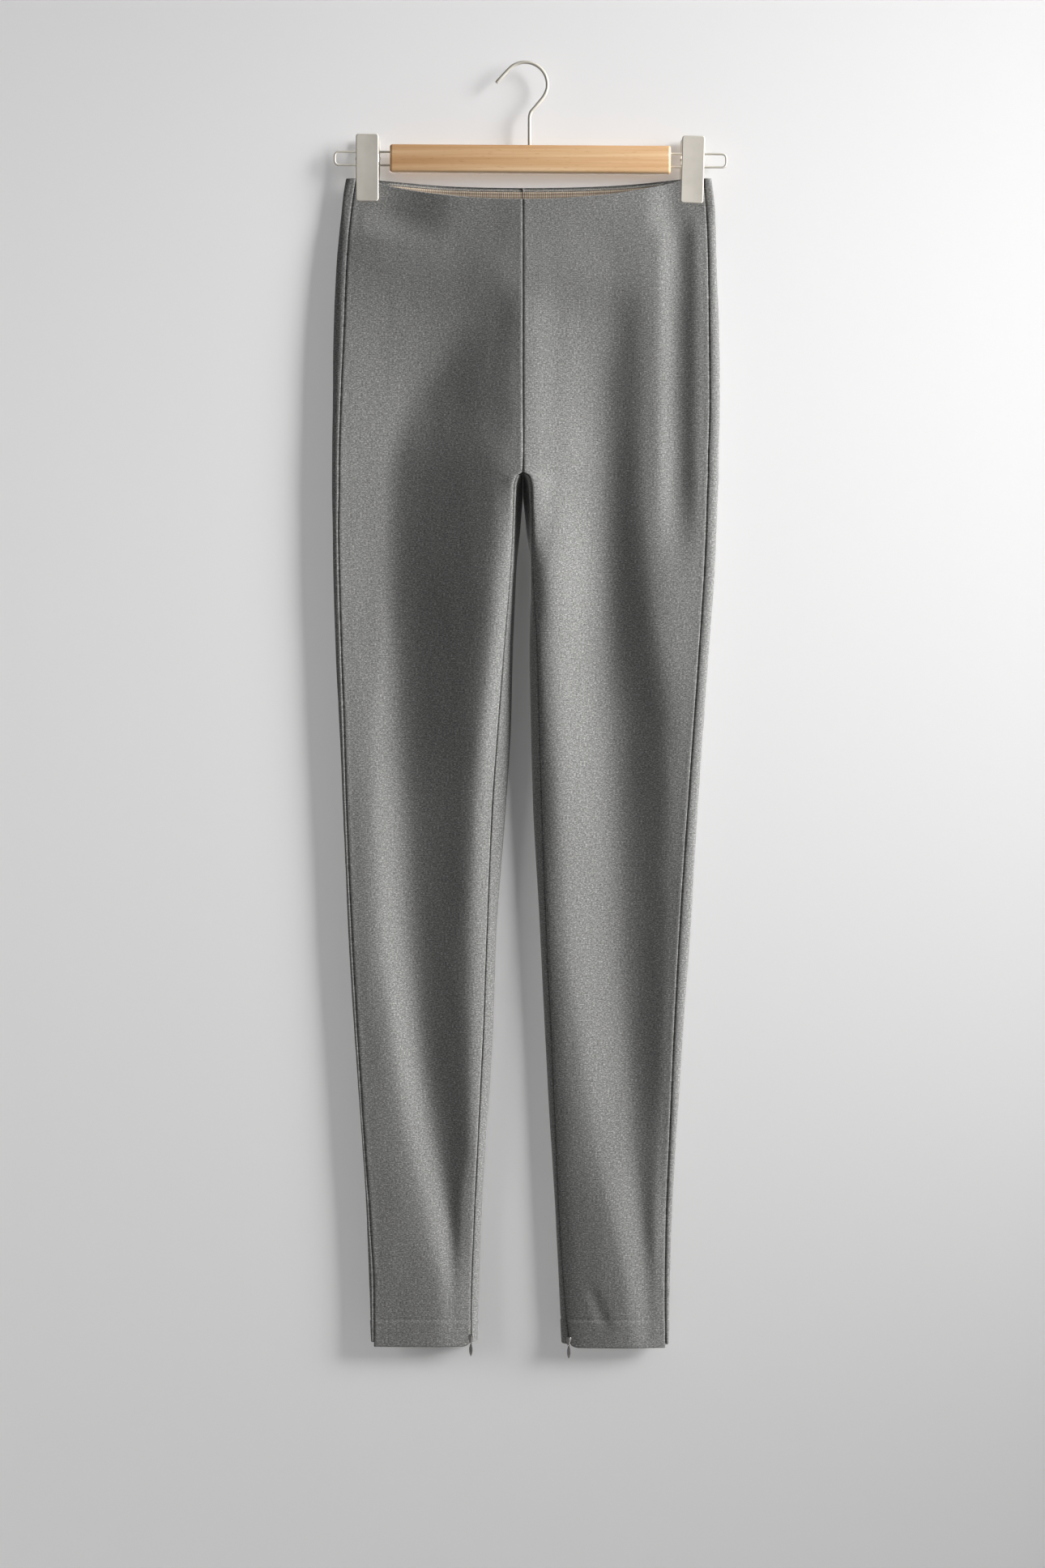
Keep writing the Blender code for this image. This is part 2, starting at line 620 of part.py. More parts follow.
def build_bar(parent, into, tools, finish):
    """The wooden bar, drilled for the hook's stem and for the ends of both wire loops."""
    bar = add_object("hanger_bar", box_mesh("hanger_bar", BAR_SIZE, BAR_ROUND, 3), into, finish, parent)
    drills = []
    for side, out in (("left", -1), ("right", 1)):
        for row in (-1, 1):
            drills.append((f"{side}_{row}", LOOP_WIRE, (out * BAR_SIZE[0] / 2, 0, row * LOOP_RISE), False))
    stem = HOOK_STEM[0][0] - BAR_CENTRE[0]
    drills.append(("stem", HOOK_WIRE, (stem, 0, BAR_SIZE[2] / 2), True))
    for name, radius, place, upright in drills:
        drill = rod_mesh(f"drill_{name}", radius + HOLE_SLACK, 2 * (LOOP_DEEP + HOLE_SLACK))
        tool = as_tool(add_object(f"drill_{name}", drill, tools, None, parent))
        tool.location = Vector(place) * MM
        if upright:
            tool.rotation_euler = (0, math.pi / 2, 0)
        cut_or_join(bar, tool, "DIFFERENCE")


def build_loop(side, parent, into, finish):
    """A flat loop of wire that comes out of the bar's end; the clip slides along it."""
    out = -1 if side == "left" else 1
    end = LOOP_REACH[side] - out * LOOP_WIRE
    root = out * (BAR_SIZE[0] / 2 - LOOP_DEEP)
    turn = LOOP_RISE - LOOP_CORNER
    upper = [(end - out * (LOOP_CORNER - a), b) for a, b in arc((0, turn), LOOP_CORNER, 90, 0, 5)]
    points = [(root, 0, LOOP_RISE), *((a, 0, b) for a, b in upper)]
    points += [(a, 0, -b) for a, _, b in reversed(points)]
    wire(f"hanger_loop_{side}", points, LOOP_WIRE, into, finish, parent)


def build_hook(into, finish):
    """The steel hook: a straight stem, a bend, and an arc that ends in a straight point."""
    bow = arc(HOOK_CENTRE, HOOK_RADIUS, *HOOK_ARC, 24)
    way = math.radians(HOOK_ARC[1] + 90)
    tip = (bow[-1][0] + HOOK_TIP * math.cos(way), bow[-1][1] + HOOK_TIP * math.sin(way))
    points = [(a, 0, b) for a, b in (*HOOK_STEM, *bow, tip)]
    wire("hanger_hook", points, HOOK_WIRE, into, finish)


def build_jaw(side, face, parent, into, tools, finish):
    """One jaw of a clip: a plate with a pad at its foot and two cheeks round the pin."""
    out = -1 if face == "front" else 1
    name = f"clip_{side}_{face}"
    tall = CLIP_TOP - CLIP_FOOT
    middle = (CLIP_TOP + CLIP_FOOT) / 2
    plate = box_mesh(name, (CLIP_WIDE, PLATE_THICK, tall), PLATE_ROUND)
    plate.transform(Matrix.Translation(Vector((0, out * (PLATE_FACE - PLATE_THICK / 2), middle)) * MM))
    jaw = add_object(name, plate, into, finish, parent)
    pad_deep = PLATE_FACE - PLATE_THICK / 2 - PAD_BITE
    pad_size = (CLIP_WIDE - 2 * PAD_INSET, pad_deep, PAD_TALL)
    pad = add_object(f"pad_{name}", box_mesh("pad", pad_size, 0.0), tools, None, parent)
    pad_middle = CLIP_FOOT + PAD_INSET + PAD_TALL / 2
    pad.location = Vector((0, out * (PAD_BITE + pad_deep / 2), pad_middle)) * MM
    cut_or_join(jaw, as_tool(pad), "UNION")
    inset = 0.0 if face == "front" else CHEEK_THICK + HOLE_SLACK
    cheek_deep = PLATE_FACE - PLATE_THICK / 2 + CHEEK_PAST
    for place in (-1, 1):
        cheek_name = f"cheek_{name}_{place}"
        size = (CHEEK_THICK, cheek_deep, CHEEK_TALL)
        cheek = add_object(cheek_name, box_mesh("cheek", size, 0.0), tools, None, parent)
        x = place * (CLIP_WIDE / 2 - CHEEK_THICK / 2 - CHEEK_INSET - inset)
        cheek.location = Vector((x, out * (cheek_deep / 2 - CHEEK_PAST), 0)) * MM
        cut_or_join(jaw, as_tool(cheek), "UNION")
    bore_mesh = rod_mesh("bore", PIN_RADIUS + HOLE_SLACK, 2 * CLIP_WIDE)
    bore = add_object(f"bore_{name}", bore_mesh, tools, None, parent)
    cut_or_join(jaw, as_tool(bore), "DIFFERENCE")


def build_clip(side, hanger, into, tools, finish):
    """A clip on its wire loop: two jaws, the pin they turn on, and the spring round the pin."""
    along, tilt = CLIP_PLACES[side]
    clip = bpy.data.objects.new(f"clip_{side}_place", None)
    into.objects.link(clip)
    clip.parent = hanger
    clip.location = Vector((along, 0, 0)) * MM
    clip.rotation_euler = (0, math.radians(tilt), 0)
    for face in ("front", "back"):
        build_jaw(side, face, clip, into, tools, finish)
    add_object(f"clip_{side}_pin", rod_mesh("pin", PIN_RADIUS, PIN_LONG), into, finish, clip)
    spring = rod_mesh("spring", SPRING_RADIUS, SPRING_LONG, 20)
    coil = add_object(f"clip_{side}_spring", spring, into, finish, clip)
    bore_mesh = rod_mesh("bore", PIN_RADIUS + HOLE_SLACK, PIN_LONG)
    bore = add_object(f"spring_bore_{side}", bore_mesh, tools, None, clip)
    cut_or_join(coil, as_tool(bore), "DIFFERENCE")


def main():
    clear_scene()
    into = collection("leggings_on_hanger")
    tools = collection("tools")
    tools.hide_render = True
    cloth = material("grey_jersey", (0.16, 0.16, 0.155), 0.9)
    tape = material("elastic_tape", (0.33, 0.28, 0.23), 0.85)
    zip_metal = material("zip_metal", (0.42, 0.41, 0.40), 0.4, 1.0)
    wood = material("waxed_beech", (0.60, 0.38, 0.20), 0.5)
    painted = material("painted_steel", (0.55, 0.53, 0.47), 0.45)

    rows = {side: build_panels(side, into, cloth) for side in SIDES}
    build_waist_tape(rows, into, tape)
    for side in SIDES:
        build_zip_tape(side, rows[side], into, cloth)
        hinge = build_slider(side, into, tools, zip_metal)
        build_pull(side, hinge, into, zip_metal)

    hanger = bpy.data.objects.new("hanger_place", None)
    into.objects.link(hanger)
    hanger.location = Vector(BAR_CENTRE) * MM
    hanger.rotation_euler = (0, math.radians(HANGER_TILT), 0)
    build_bar(hanger, into, tools, wood)
    build_hook(into, painted)
    for side in SIDES:
        build_loop(side, hanger, into, painted)
        build_clip(side, hanger, into, tools, painted)


main()
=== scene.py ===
# %% [markdown]
# # Jersey leggings on a clip hanger
# High-waisted leggings in grey melange jersey hang by the waist from two steel clips on a
# beech hanger. The CAD frame already holds each piece as a plain solid in its true place.
# Here each piece gets its look: thin cloth with seams and soft folds, tape, thread, zips,
# waxed wood and enamelled steel.

# %% Load the frame and keep its size
import json
import math
from bisect import bisect_right
from collections import namedtuple

import bmesh
import bpy
from mathutils import Matrix, Vector, noise
from mathutils.geometry import interpolate_bezier


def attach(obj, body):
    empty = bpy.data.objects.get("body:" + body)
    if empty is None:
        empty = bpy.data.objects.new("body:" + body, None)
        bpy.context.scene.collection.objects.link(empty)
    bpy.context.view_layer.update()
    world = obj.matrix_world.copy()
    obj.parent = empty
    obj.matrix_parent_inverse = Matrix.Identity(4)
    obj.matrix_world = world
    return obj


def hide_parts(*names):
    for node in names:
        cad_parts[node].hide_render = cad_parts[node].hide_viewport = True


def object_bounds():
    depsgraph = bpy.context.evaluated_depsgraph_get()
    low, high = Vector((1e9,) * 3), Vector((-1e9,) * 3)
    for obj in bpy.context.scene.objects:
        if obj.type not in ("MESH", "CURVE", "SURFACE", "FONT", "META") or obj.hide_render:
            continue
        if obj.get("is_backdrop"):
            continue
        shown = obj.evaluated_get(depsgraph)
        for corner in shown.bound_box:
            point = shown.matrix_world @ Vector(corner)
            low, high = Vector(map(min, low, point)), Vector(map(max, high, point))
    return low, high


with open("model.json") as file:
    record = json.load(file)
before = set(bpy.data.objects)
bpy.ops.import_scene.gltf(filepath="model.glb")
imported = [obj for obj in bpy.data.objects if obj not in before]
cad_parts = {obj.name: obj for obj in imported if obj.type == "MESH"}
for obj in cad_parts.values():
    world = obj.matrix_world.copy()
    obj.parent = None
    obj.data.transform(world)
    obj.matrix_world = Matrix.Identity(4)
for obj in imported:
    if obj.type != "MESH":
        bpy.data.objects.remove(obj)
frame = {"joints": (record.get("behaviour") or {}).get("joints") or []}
cad_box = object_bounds()
MM = 0.001  # every size below is in millimetres, as a pattern cutter writes them
BODY = "hung_leggings"
PULLS = {"left": "left_pull", "right": "right_pull"}


def put(made):
    """Links an object to the scene."""
    bpy.context.scene.collection.objects.link(made)
    return made


# %% [markdown]
# ## Camera
# A long lens from a few metres away keeps the legs parallel, as in a shop's picture of a
# garment. The camera looks straight at the wall, level with the middle of the garment.

# %% Camera
camera_data = bpy.data.cameras.new("camera")
camera_data.sensor_fit = "VERTICAL"
camera_data.sensor_height = 36.0
camera_data.lens = 85.05
camera = put(bpy.data.objects.new("camera", camera_data))
camera.location = (-0.0014, -3.2, -0.622)
camera.rotation_euler = (math.pi / 2, 0.0, 0.0)
bpy.context.scene.camera = camera
print("camera at", tuple(camera.location), "lens", camera_data.lens)

# %% [markdown]
# ## Small helpers for materials
# A shader tree is a list of nodes with settings, input values and links. One function adds
# a node with all three. Colours are written as sRGB hex, as on a colour card, and one
# function turns them into the linear numbers that the renderer works in.


# %% Helpers for materials
def linear(hex_colour):
    """An sRGB hex colour as linear red, green, blue and alpha."""
    parts = [int(hex_colour[i : i + 2], 16) / 255 for i in (1, 3, 5)]
    straight = [p / 12.92 if p <= 0.04045 else ((p + 0.055) / 1.055) ** 2.4 for p in parts]
    return (*straight, 1.0)


def feed(tree, made, inputs):
    """Gives a node its inputs: a socket is linked, and anything else is set as a value."""
    for key, value in inputs.items():
        if isinstance(value, bpy.types.NodeSocket):
            tree.links.new(value, made.inputs[key])
        else:
            made.inputs[key].default_value = value


def add_node(tree, kind, inputs=None, **settings):
    """A node with its settings, and its inputs given as values or as sockets to link."""
    made = tree.nodes.new(kind)
    for name, value in settings.items():
        setattr(made, name, value)
    feed(tree, made, inputs or {})
    return made


def new_material(name):
    """A material with nodes, its tree, and its Principled shader."""
    made = bpy.data.materials.new(name)
    made.use_nodes = True
    tree = made.node_tree
    return made, tree, tree.nodes["Principled BSDF"]


def colour_ramp(tree, factor, stops):
    """A colour ramp through stops of (position, hex colour)."""
    ramp = add_node(tree, "ShaderNodeValToRGB", {"Fac": factor})
    while len(ramp.color_ramp.elements) < len(stops):
        ramp.color_ramp.elements.new(0.5)
    for element, (position, hex_colour) in zip(ramp.color_ramp.elements, stops):
        element.position = position
        element.color = linear(hex_colour)
    return ramp.outputs["Color"]


def number_ramp(tree, value, low, high, to_low, to_high):
    """A value moved in a straight line from one range to another, and kept within it."""
    return add_node(tree, "ShaderNodeMapRange", {
        "Value": value, "From Min": low, "From Max": high, "To Min": to_low, "To Max": to_high,
    }).outputs["Result"]


def noise_at(tree, place, scale, detail=3.0, rough=0.6):
    """Soft noise; scale is in lumps per metre."""
    inputs = {"Vector": place, "Scale": scale, "Detail": detail, "Roughness": rough}
    return add_node(tree, "ShaderNodeTexNoise", inputs).outputs["Fac"]


def stretched(tree, place, scale):
    """A place with each axis scaled, so that a pattern is longer one way."""
    return add_node(tree, "ShaderNodeMapping", {"Vector": place, "Scale": scale}).outputs["Vector"]


def summed(tree, one, other):
    return add_node(tree, "ShaderNodeMath", {0: one, 1: other}, operation="ADD").outputs[0]


def bumped(tree, height, strength, distance):
    """A normal that follows a height; distance is the height of the relief in metres."""
    inputs = {"Strength": strength, "Distance": distance, "Height": height}
    return add_node(tree, "ShaderNodeBump", inputs).outputs["Normal"]


def cloth_place(tree):
    """Metres along the cloth, from a panel's own UV map."""
    return add_node(tree, "ShaderNodeUVMap", uv_map="cloth").outputs["UV"]


def object_place(tree):
    return add_node(tree, "ShaderNodeTexCoord").outputs["Object"]


print("grey #707070 is", [round(c, 3) for c in linear("#707070")[:3]], "in linear light")

# %% [markdown]
# ## Melange jersey
# Double jersey knitted from a yarn that mixes dark and pale fibres, then lightly brushed.
# The mixed fibres give a fine pepper-and-salt speckle, a little longer across the knit than
# down it, and the brushing gives a soft nap that catches light from the side. The pattern
# reads the cloth's own UV map, in metres along the cloth, so it follows every fold.
# The real stitches are 0.7 mm apart, too fine to show, so the speckle is drawn at 1.2 mm.


# %% Melange jersey
def make_jersey():
    made, tree, shader = new_material("brushed_melange_jersey")
    cloth = cloth_place(tree)
    across = stretched(tree, cloth, (0.62, 1.0, 1.0))
    fleck = noise_at(tree, across, 950.0, 2.0, 0.65)
    patch = noise_at(tree, across, 300.0, 1.0, 0.5)
    mixed = add_node(tree, "ShaderNodeMix", {"Factor": 0.12, "A": fleck, "B": patch})
    level = number_ramp(tree, mixed.outputs["Result"], 0.28, 0.72, 0.0, 1.0)
    wale = add_node(tree, "ShaderNodeTexWave", {
        "Vector": cloth, "Scale": 260.0, "Distortion": 3.0, "Detail": 2.0, "Detail Scale": 2.0,
    }, bands_direction="X").outputs["Fac"]
    nap = summed(tree, fleck, number_ramp(tree, wale, 0.0, 1.0, 0.0, 0.4))
    feed(tree, shader, {
        "Base Color": colour_ramp(tree, level, JERSEY_STOPS),
        "Normal": bumped(tree, nap, 0.25, 0.0003),
        "Roughness": 0.93,
        "Specular IOR Level": 0.2,
        "Sheen Weight": 0.12,
        "Sheen Roughness": 0.6,
    })
    return made


JERSEY_STOPS = [(0.0, "#474645"), (0.42, "#6A6A68"), (0.62, "#7A7A78"), (1.0, "#A6A5A3")]
jersey = make_jersey()
print("made", jersey.name)

# %% [markdown]
# ## Elastic tape, thread and zip tape
# The waist is held by a woven elastic tape: taupe, with fine ribs across it and a faint
# stripe along it. The overlock thread is a dull grey polyester, smoother than the cloth, so
# it is a shade brighter where light hits it.


# %% Elastic tape and thread
def make_elastic():
    made, tree, shader = new_material("woven_elastic_tape")
    cloth = cloth_place(tree)
    ribs = {"Vector": cloth, "Scale": 190.0, "Distortion": 1.0}
    rib = add_node(tree, "ShaderNodeTexWave", ribs)
    stripe = add_node(tree, "ShaderNodeTexWave", {
        "Vector": cloth, "Scale": 120.0, "Distortion": 0.6, "Detail": 1.0,
    }, bands_direction="Y").outputs["Fac"]
    blend = summed(tree, stripe, noise_at(tree, cloth, 300.0))
    level = number_ramp(tree, blend, 0.2, 1.6, 0.0, 1.0)
    stops = [(0.0, "#8A7A68"), (0.5, "#A3927F"), (1.0, "#BFB09D")]
    feed(tree, shader, {
        "Base Color": colour_ramp(tree, level, stops),
        "Normal": bumped(tree, rib.outputs["Fac"], 0.4, 0.0004),
        "Roughness": 0.8,
    })
    return made


def make_thread(name, dark, pale):
    made, tree, shader = new_material(name)
    ply = noise_at(tree, object_place(tree), 1400.0, 1.0)
    colour = colour_ramp(tree, ply, [(0.3, dark), (0.7, pale)])
    feed(tree, shader, {"Base Color": colour, "Roughness": 0.7, "Sheen Weight": 0.1})
    return made


elastic = make_elastic()
thread = make_thread("polyester_thread", "#8B8782", "#C0BCB5")
zip_thread = make_thread("nylon_zip_coil", "#3A3836", "#56534F")
print("made", elastic.name, "and", thread.name)

# %% [markdown]
# ## Waxed beech
# The bar is beech, sanded and waxed. Its grain runs along the bar as long pale and dark
# streaks a millimetre or two wide, with short darker flecks of ray. Noise stretched hard
# along X draws both. Wax leaves a soft gloss.


# %% Waxed beech
def make_beech():
    made, tree, shader = new_material("waxed_beech")
    place = object_place(tree)
    streak = noise_at(tree, stretched(tree, place, (5.0, 260.0, 260.0)), 1.0, 4.0, 0.55)
    broad = noise_at(tree, stretched(tree, place, (2.5, 70.0, 70.0)), 1.0, 2.0, 0.5)
    ray = noise_at(tree, stretched(tree, place, (120.0, 900.0, 900.0)), 1.0, 1.0, 0.5)
    level = number_ramp(tree, summed(tree, streak, broad), 0.68, 1.32, 0.0, 1.0)
    stops = [(0.0, "#C49566"), (0.4, "#D4A97C"), (0.7, "#DFBA8F"), (1.0, "#E7C79F")]
    fleck = number_ramp(tree, ray, 0.62, 0.78, 0.0, 0.35)
    # sockets 6 and 7 are the colours to mix, and output 2 is the mixed colour
    colours = {"Factor": fleck, 6: colour_ramp(tree, level, stops), 7: linear("#A8733F")}
    feed(tree, shader, {
        "Base Color": add_node(tree, "ShaderNodeMix", colours, data_type="RGBA").outputs[2],
        "Normal": bumped(tree, streak, 0.15, 0.0003),
        "Roughness": number_ramp(tree, streak, 0.3, 0.7, 0.42, 0.56),
    })
    return made


# %% [markdown]
# ## Enamelled steel and zip metal
# The wires and clips are steel with a thin beige-grey enamel: a satin film that flows a
# little at the edges, so the colour is even and the gloss is broad, with a faint orange-peel
# ripple. The zip sliders are die-cast zinc, nickel plated and tumbled dull, so they reflect
# softly, and their colour and gloss vary in small random patches.


# %% Enamelled steel and zip metal
def make_enamel(name, dark, pale):
    made, tree, shader = new_material(name)
    place = object_place(tree)
    cloud = noise_at(tree, place, 60.0, 3.0)
    peel = noise_at(tree, place, 900.0, 1.0)
    feed(tree, shader, {
        "Base Color": colour_ramp(tree, cloud, [(0.3, dark), (0.7, pale)]),
        "Normal": bumped(tree, peel, 0.05, 0.0002),
        "Roughness": number_ramp(tree, cloud, 0.3, 0.7, 0.36, 0.44),
    })
    return made


def make_zinc():
    made, tree, shader = new_material("tumbled_nickel_zinc")
    wear = noise_at(tree, object_place(tree), 700.0, 3.0)
    feed(tree, shader, {
        "Base Color": colour_ramp(tree, wear, [(0.3, "#7E7B79"), (0.7, "#A3A09E")]),
        "Roughness": number_ramp(tree, wear, 0.3, 0.7, 0.32, 0.5),
        "Metallic": 1.0,
    })
    return made


beech = make_beech()
enamel = make_enamel("beige_grey_enamel", "#BFB9AE", "#CAC4BA")
wire_enamel = make_enamel("wire_enamel", "#BBB6AB", "#C8C3B8")
zinc = make_zinc()
print("made", beech.name, enamel.name, zinc.name)

# %% [markdown]
# ## The garment's sections
# Cloth that hangs flat is best described by its cross sections. Each table row is one height.
# On the front it gives, from the side seam to the inseam, a soft ridge, a trough and a crest;
# on the back, the folded edges and how far the cloth stands off. A cubic that never overshoots
# fills in the heights between rows, and a smooth curve runs through the points of a section.
# The CAD solids were made from nearly the same tables, so cloth and frame agree to a few
# millimetres.

# %% Tables of the sections
# x and y of each key point; -Y is the front
Front = namedtuple(
    "Front", "z seam seam_y ridge ridge_y trough trough_y crest crest_y inseam inseam_y"
)
Back = namedtuple("Back", "z edge flank back corner corner_y inner wrap")
LEFT_FRONT = [
    Front(-99, -145, -3, -123, -5, -60, -10, -26, -11.5, -1, -13),
    Front(-130, -149.5, -6, -123, -8, -60, -11, -26, -13, -1, -15),
    Front(-175, -153, -8, -123, -10, -60, -13, -24, -16, -1, -17),
    Front(-225, -155, -10, -117, -9, -61, -9, -26, -13, -1, -17),
    Front(-295, -158, -11.5, -123, -7, -92, -3.5, -34, -15, -1, -20),
    Front(-354, -159.5, -12, -130, -7, -110, -4.5, -24, -24, -1, -25.5),
    Front(-358, -159.5, -12, -130, -7, -110, -4.5, -24, -24, -6, -25.5),
    Front(-367, -159.5, -12, -130, -7, -110, -4.2, -21, -25, -8.5, -24.5),
    Front(-400, -160, -12, -130, -6.5, -111, -3.5, -21, -25, -9.5, -22),
    Front(-435, -159.5, -12, -132, -6.5, -111, -3, -24, -24.5, -11.5, -19.5),
    Front(-505, -157.5, -11, -127, -6, -108, -1, -29, -20.5, -17, -14),
    Front(-575, -155, -11, -133, -9, -105, -0.5, -36, -17, -22.5, -10),
    Front(-645, -153, -10, -131, -9, -101, 1, -42, -11.5, -27.5, -6),
    Front(-750, -148.5, -9.5, -126, -9, -96, 2, -45.5, -8.5, -32, -4),
    Front(-855, -142.5, -9, -112.5, -9, -87, 2, -46, -7, -36, -4),
    Front(-925, -138, -9, -102, -9, -75.5, 0.5, -46, -6, -39.5, -4.5),
    Front(-995, -133, -8.5, -85, -9, -65, -1, -54, -3.5, -43, -2.5),
    Front(-1065, -129.5, -8.5, -73, -10.5, -61, -8, -53, -7, -45.5, -5),
    Front(-1107, -129.5, -8.5, -73, -10.2, -60, -9, -53, -8, -46, -6.5),
]
LEFT_BACK = [
    Back(-99, -154.5, 3, 8, -1, 8, -1, 0),
    Back(-130, -158, 7, 12, -1, 12, -1, 0),
    Back(-175, -162, 7, 11.5, -1, 11.5, -1, 0),
    Back(-225, -164, 8, 12.5, -1, 12.5, -1, 0),
    Back(-295, -165, 9, 13, -1, 12.5, -1, 0),
    Back(-325, -165.5, 9, 13, -1, 12, -1, 0.08),
    Back(-345, -165.5, 9, 13.5, -1, 11.5, -1, 0.5),
    Back(-354, -165.5, 9, 13.5, -1, 11, -1, 0.8),
    Back(-358, -165.5, 9, 13.5, -1.5, 11, -3, 1),
    Back(-367, -165.5, 9, 13.5, -1.5, 10.5, -5, 1),
    Back(-400, -165, 9, 13.5, -4, 10.5, -6.5, 1),
    Back(-435, -164.5, 9, 13.5, -8, 10.5, -7.5, 1),
    Back(-505, -162.5, 9, 13.5, -12, 10, -10, 1),
    Back(-575, -159, 8, 13.5, -14, 10, -12, 1),
    Back(-645, -156, 8, 13.5, -18, 10, -16.5, 1),
    Back(-750, -151.5, 7.5, 13, -26, 9.5, -24, 1),
    Back(-855, -145, 7, 12.5, -30, 9, -28, 1),
    Back(-995, -135.5, 6, 11.5, -39, 8.5, -37, 1),
    Back(-1107, -131.5, 5, 10, -43, 8, -40.5, 1),
]
RIGHT_FRONT = [
    Front(-99, 155, -3, 121, -6, 65, -11, 30, -12.5, -1, -13),
    Front(-130, 157.5, -5.5, 110, -10, 65, -12, 30, -14, -1, -15),
    Front(-175, 159, -6.5, 106.5, -12, 72, -12.5, 30, -15.5, -1, -17),
    Front(-225, 159.5, -7, 105.5, -10, 75, -7, 30, -12, -1, -17),
    Front(-295, 160, -8, 105.5, -10, 70.5, -5, 30, -13, -1, -20),
    Front(-354, 158.5, -9.5, 104.5, -12, 70, -6, 30, -17, -1, -26),
    Front(-358, 158.5, -9.5, 104.5, -12, 70, -6, 30, -17, 4, -26.5),
    Front(-367, 158, -9.5, 104.5, -12, 70, -6, 29, -18, 6, -26),
    Front(-400, 157, -9.5, 106, -12, 70, -5, 26, -21, 7, -24),
    Front(-435, 155.5, -9.5, 109, -12, 70.5, -4, 20, -24, 7.5, -20),
    Front(-505, 151, -9, 116.5, -10.5, 73.5, -1, 22.5, -19, 11, -17),
    Front(-575, 146, -8, 125, -7.5, 78, 2, 25, -15.5, 13, -13),
    Front(-645, 141, -7, 125, -6, 80.5, 3, 28, -12, 15, -9),
    Front(-750, 134, -6, 124, -5, 85.5, 3, 33.5, -9.5, 19, -7),
    Front(-855, 128.5, -5.5, 120, -5, 91, 1, 45.5, -9.5, 24, -6),
    Front(-925, 125.5, -6, 116, -6, 95, -3, 56.5, -10, 27, -5.5),
    Front(-995, 122.5, -6, 113, -7.5, 101, -6, 73, -12.5, 30, -5.5),
    Front(-1065, 121.5, -7, 115, -8, 106, -8.5, 86, -13, 35, -5.5),
    Front(-1108, 122, -7, 116, -8, 108, -9, 90, -11.5, 39, -6.5),
]
RIGHT_BACK = [
    Back(-99, 162.5, 3, 8, -1, 8, -1, 0),
    Back(-130, 165.5, 7, 12, -1, 12, -1, 0),
    Back(-175, 166.5, 7, 11.5, -1, 11.5, -1, 0),
    Back(-225, 168, 8, 12.5, -1, 12.5, -1, 0),
    Back(-295, 169, 9, 13, -1, 12.5, -1, 0),
    Back(-325, 168.5, 9, 13, -1, 12, -1, 0.08),
    Back(-345, 168, 9, 13.5, -1, 11.5, -1, 0.5),
    Back(-354, 168, 9, 13.5, -1, 11, -1, 0.8),
    Back(-358, 168, 9, 13.5, -0.5, 11, 1, 1),
    Back(-367, 167.5, 9, 13.5, -0.5, 10.5, 3, 1),
    Back(-400, 166, 9, 13.5, 2, 10.5, 5, 1),
    Back(-435, 164.5, 9, 13.5, 7, 10.5, 5.5, 1),
    Back(-505, 159.5, 9, 13.5, 7.5, 10, 4.5, 1),
    Back(-575, 154.5, 8, 13.5, 8.5, 10, 6, 1),
    Back(-645, 150, 8, 13.5, 11, 10, 8, 1),
    Back(-750, 143.5, 7.5, 13, 16, 9.5, 14, 1),
    Back(-855, 136, 7, 12.5, 21, 9, 19, 1),
    Back(-995, 127.5, 6, 11.5, 29, 8.5, 27, 1),
    Back(-1108, 124, 5, 10, 35, 8, 33, 1),
]
SIDES = {"left": (LEFT_FRONT, LEFT_BACK), "right": (RIGHT_FRONT, RIGHT_BACK)}
OUT = {"left": -1, "right": 1}
CENTRE_X = -1.0
FORK_Z = -356.0
FOOT = {side: tables[0][-1].z for side, tables in SIDES.items()}
print("table rows:", {side: len(front) for side, (front, _) in SIDES.items()})

# %% [markdown]
# ## From a table row to a section
# A monotone cubic reads each column of a table at any height. A centripetal Catmull-Rom
# curve, written as Bezier spans, then joins the key points round the section without loops.

# %% Read a table and draw a section


def smooth_rise(t):
    t = min(1.0, max(0.0, t))
    return t * t * (3 - 2 * t)


def bell(t):
    return (1 - t * t) ** 2 if abs(t) < 1 else 0.0


def slopes_of(heights, values):
    steps = [(b - a) / (q - p) for p, q, a, b in zip(heights, heights[1:], values, values[1:])]
    inner = [2 * a * b / (a + b) if a * b > 0 else 0.0 for a, b in zip(steps, steps[1:])]
    return [steps[0], *inner, steps[-1]]


def read_table(rows, z):
    """The row of a table at any height."""
    rows = list(reversed(rows))
    heights = [row.z for row in rows]
    z = min(max(z, heights[0]), heights[-1])
    at = min(bisect_right(heights, z), len(rows) - 1) - 1
    span = heights[at + 1] - heights[at]
    t = (z - heights[at]) / span
    found = []
    for column in range(1, len(rows[0])):
        values = [row[column] for row in rows]
        slopes = slopes_of(heights, values)
        a, b = values[at], values[at + 1]
        p, q = slopes[at] * span, slopes[at + 1] * span
        found.append(a + t * (p + t * (3 * (b - a) - 2 * p - q + t * (p + q - 2 * (b - a)))))
    return type(rows[0])(z, *found)


KEY_STEPS = 14  # points between one key point and the next
SEAM_KEY = 4  # which key point is the side seam
# how far the strip outside the side seam falls away, part way and at its edge, as shares of
# its width
EDGE_FALL = (0.06, 0.35)


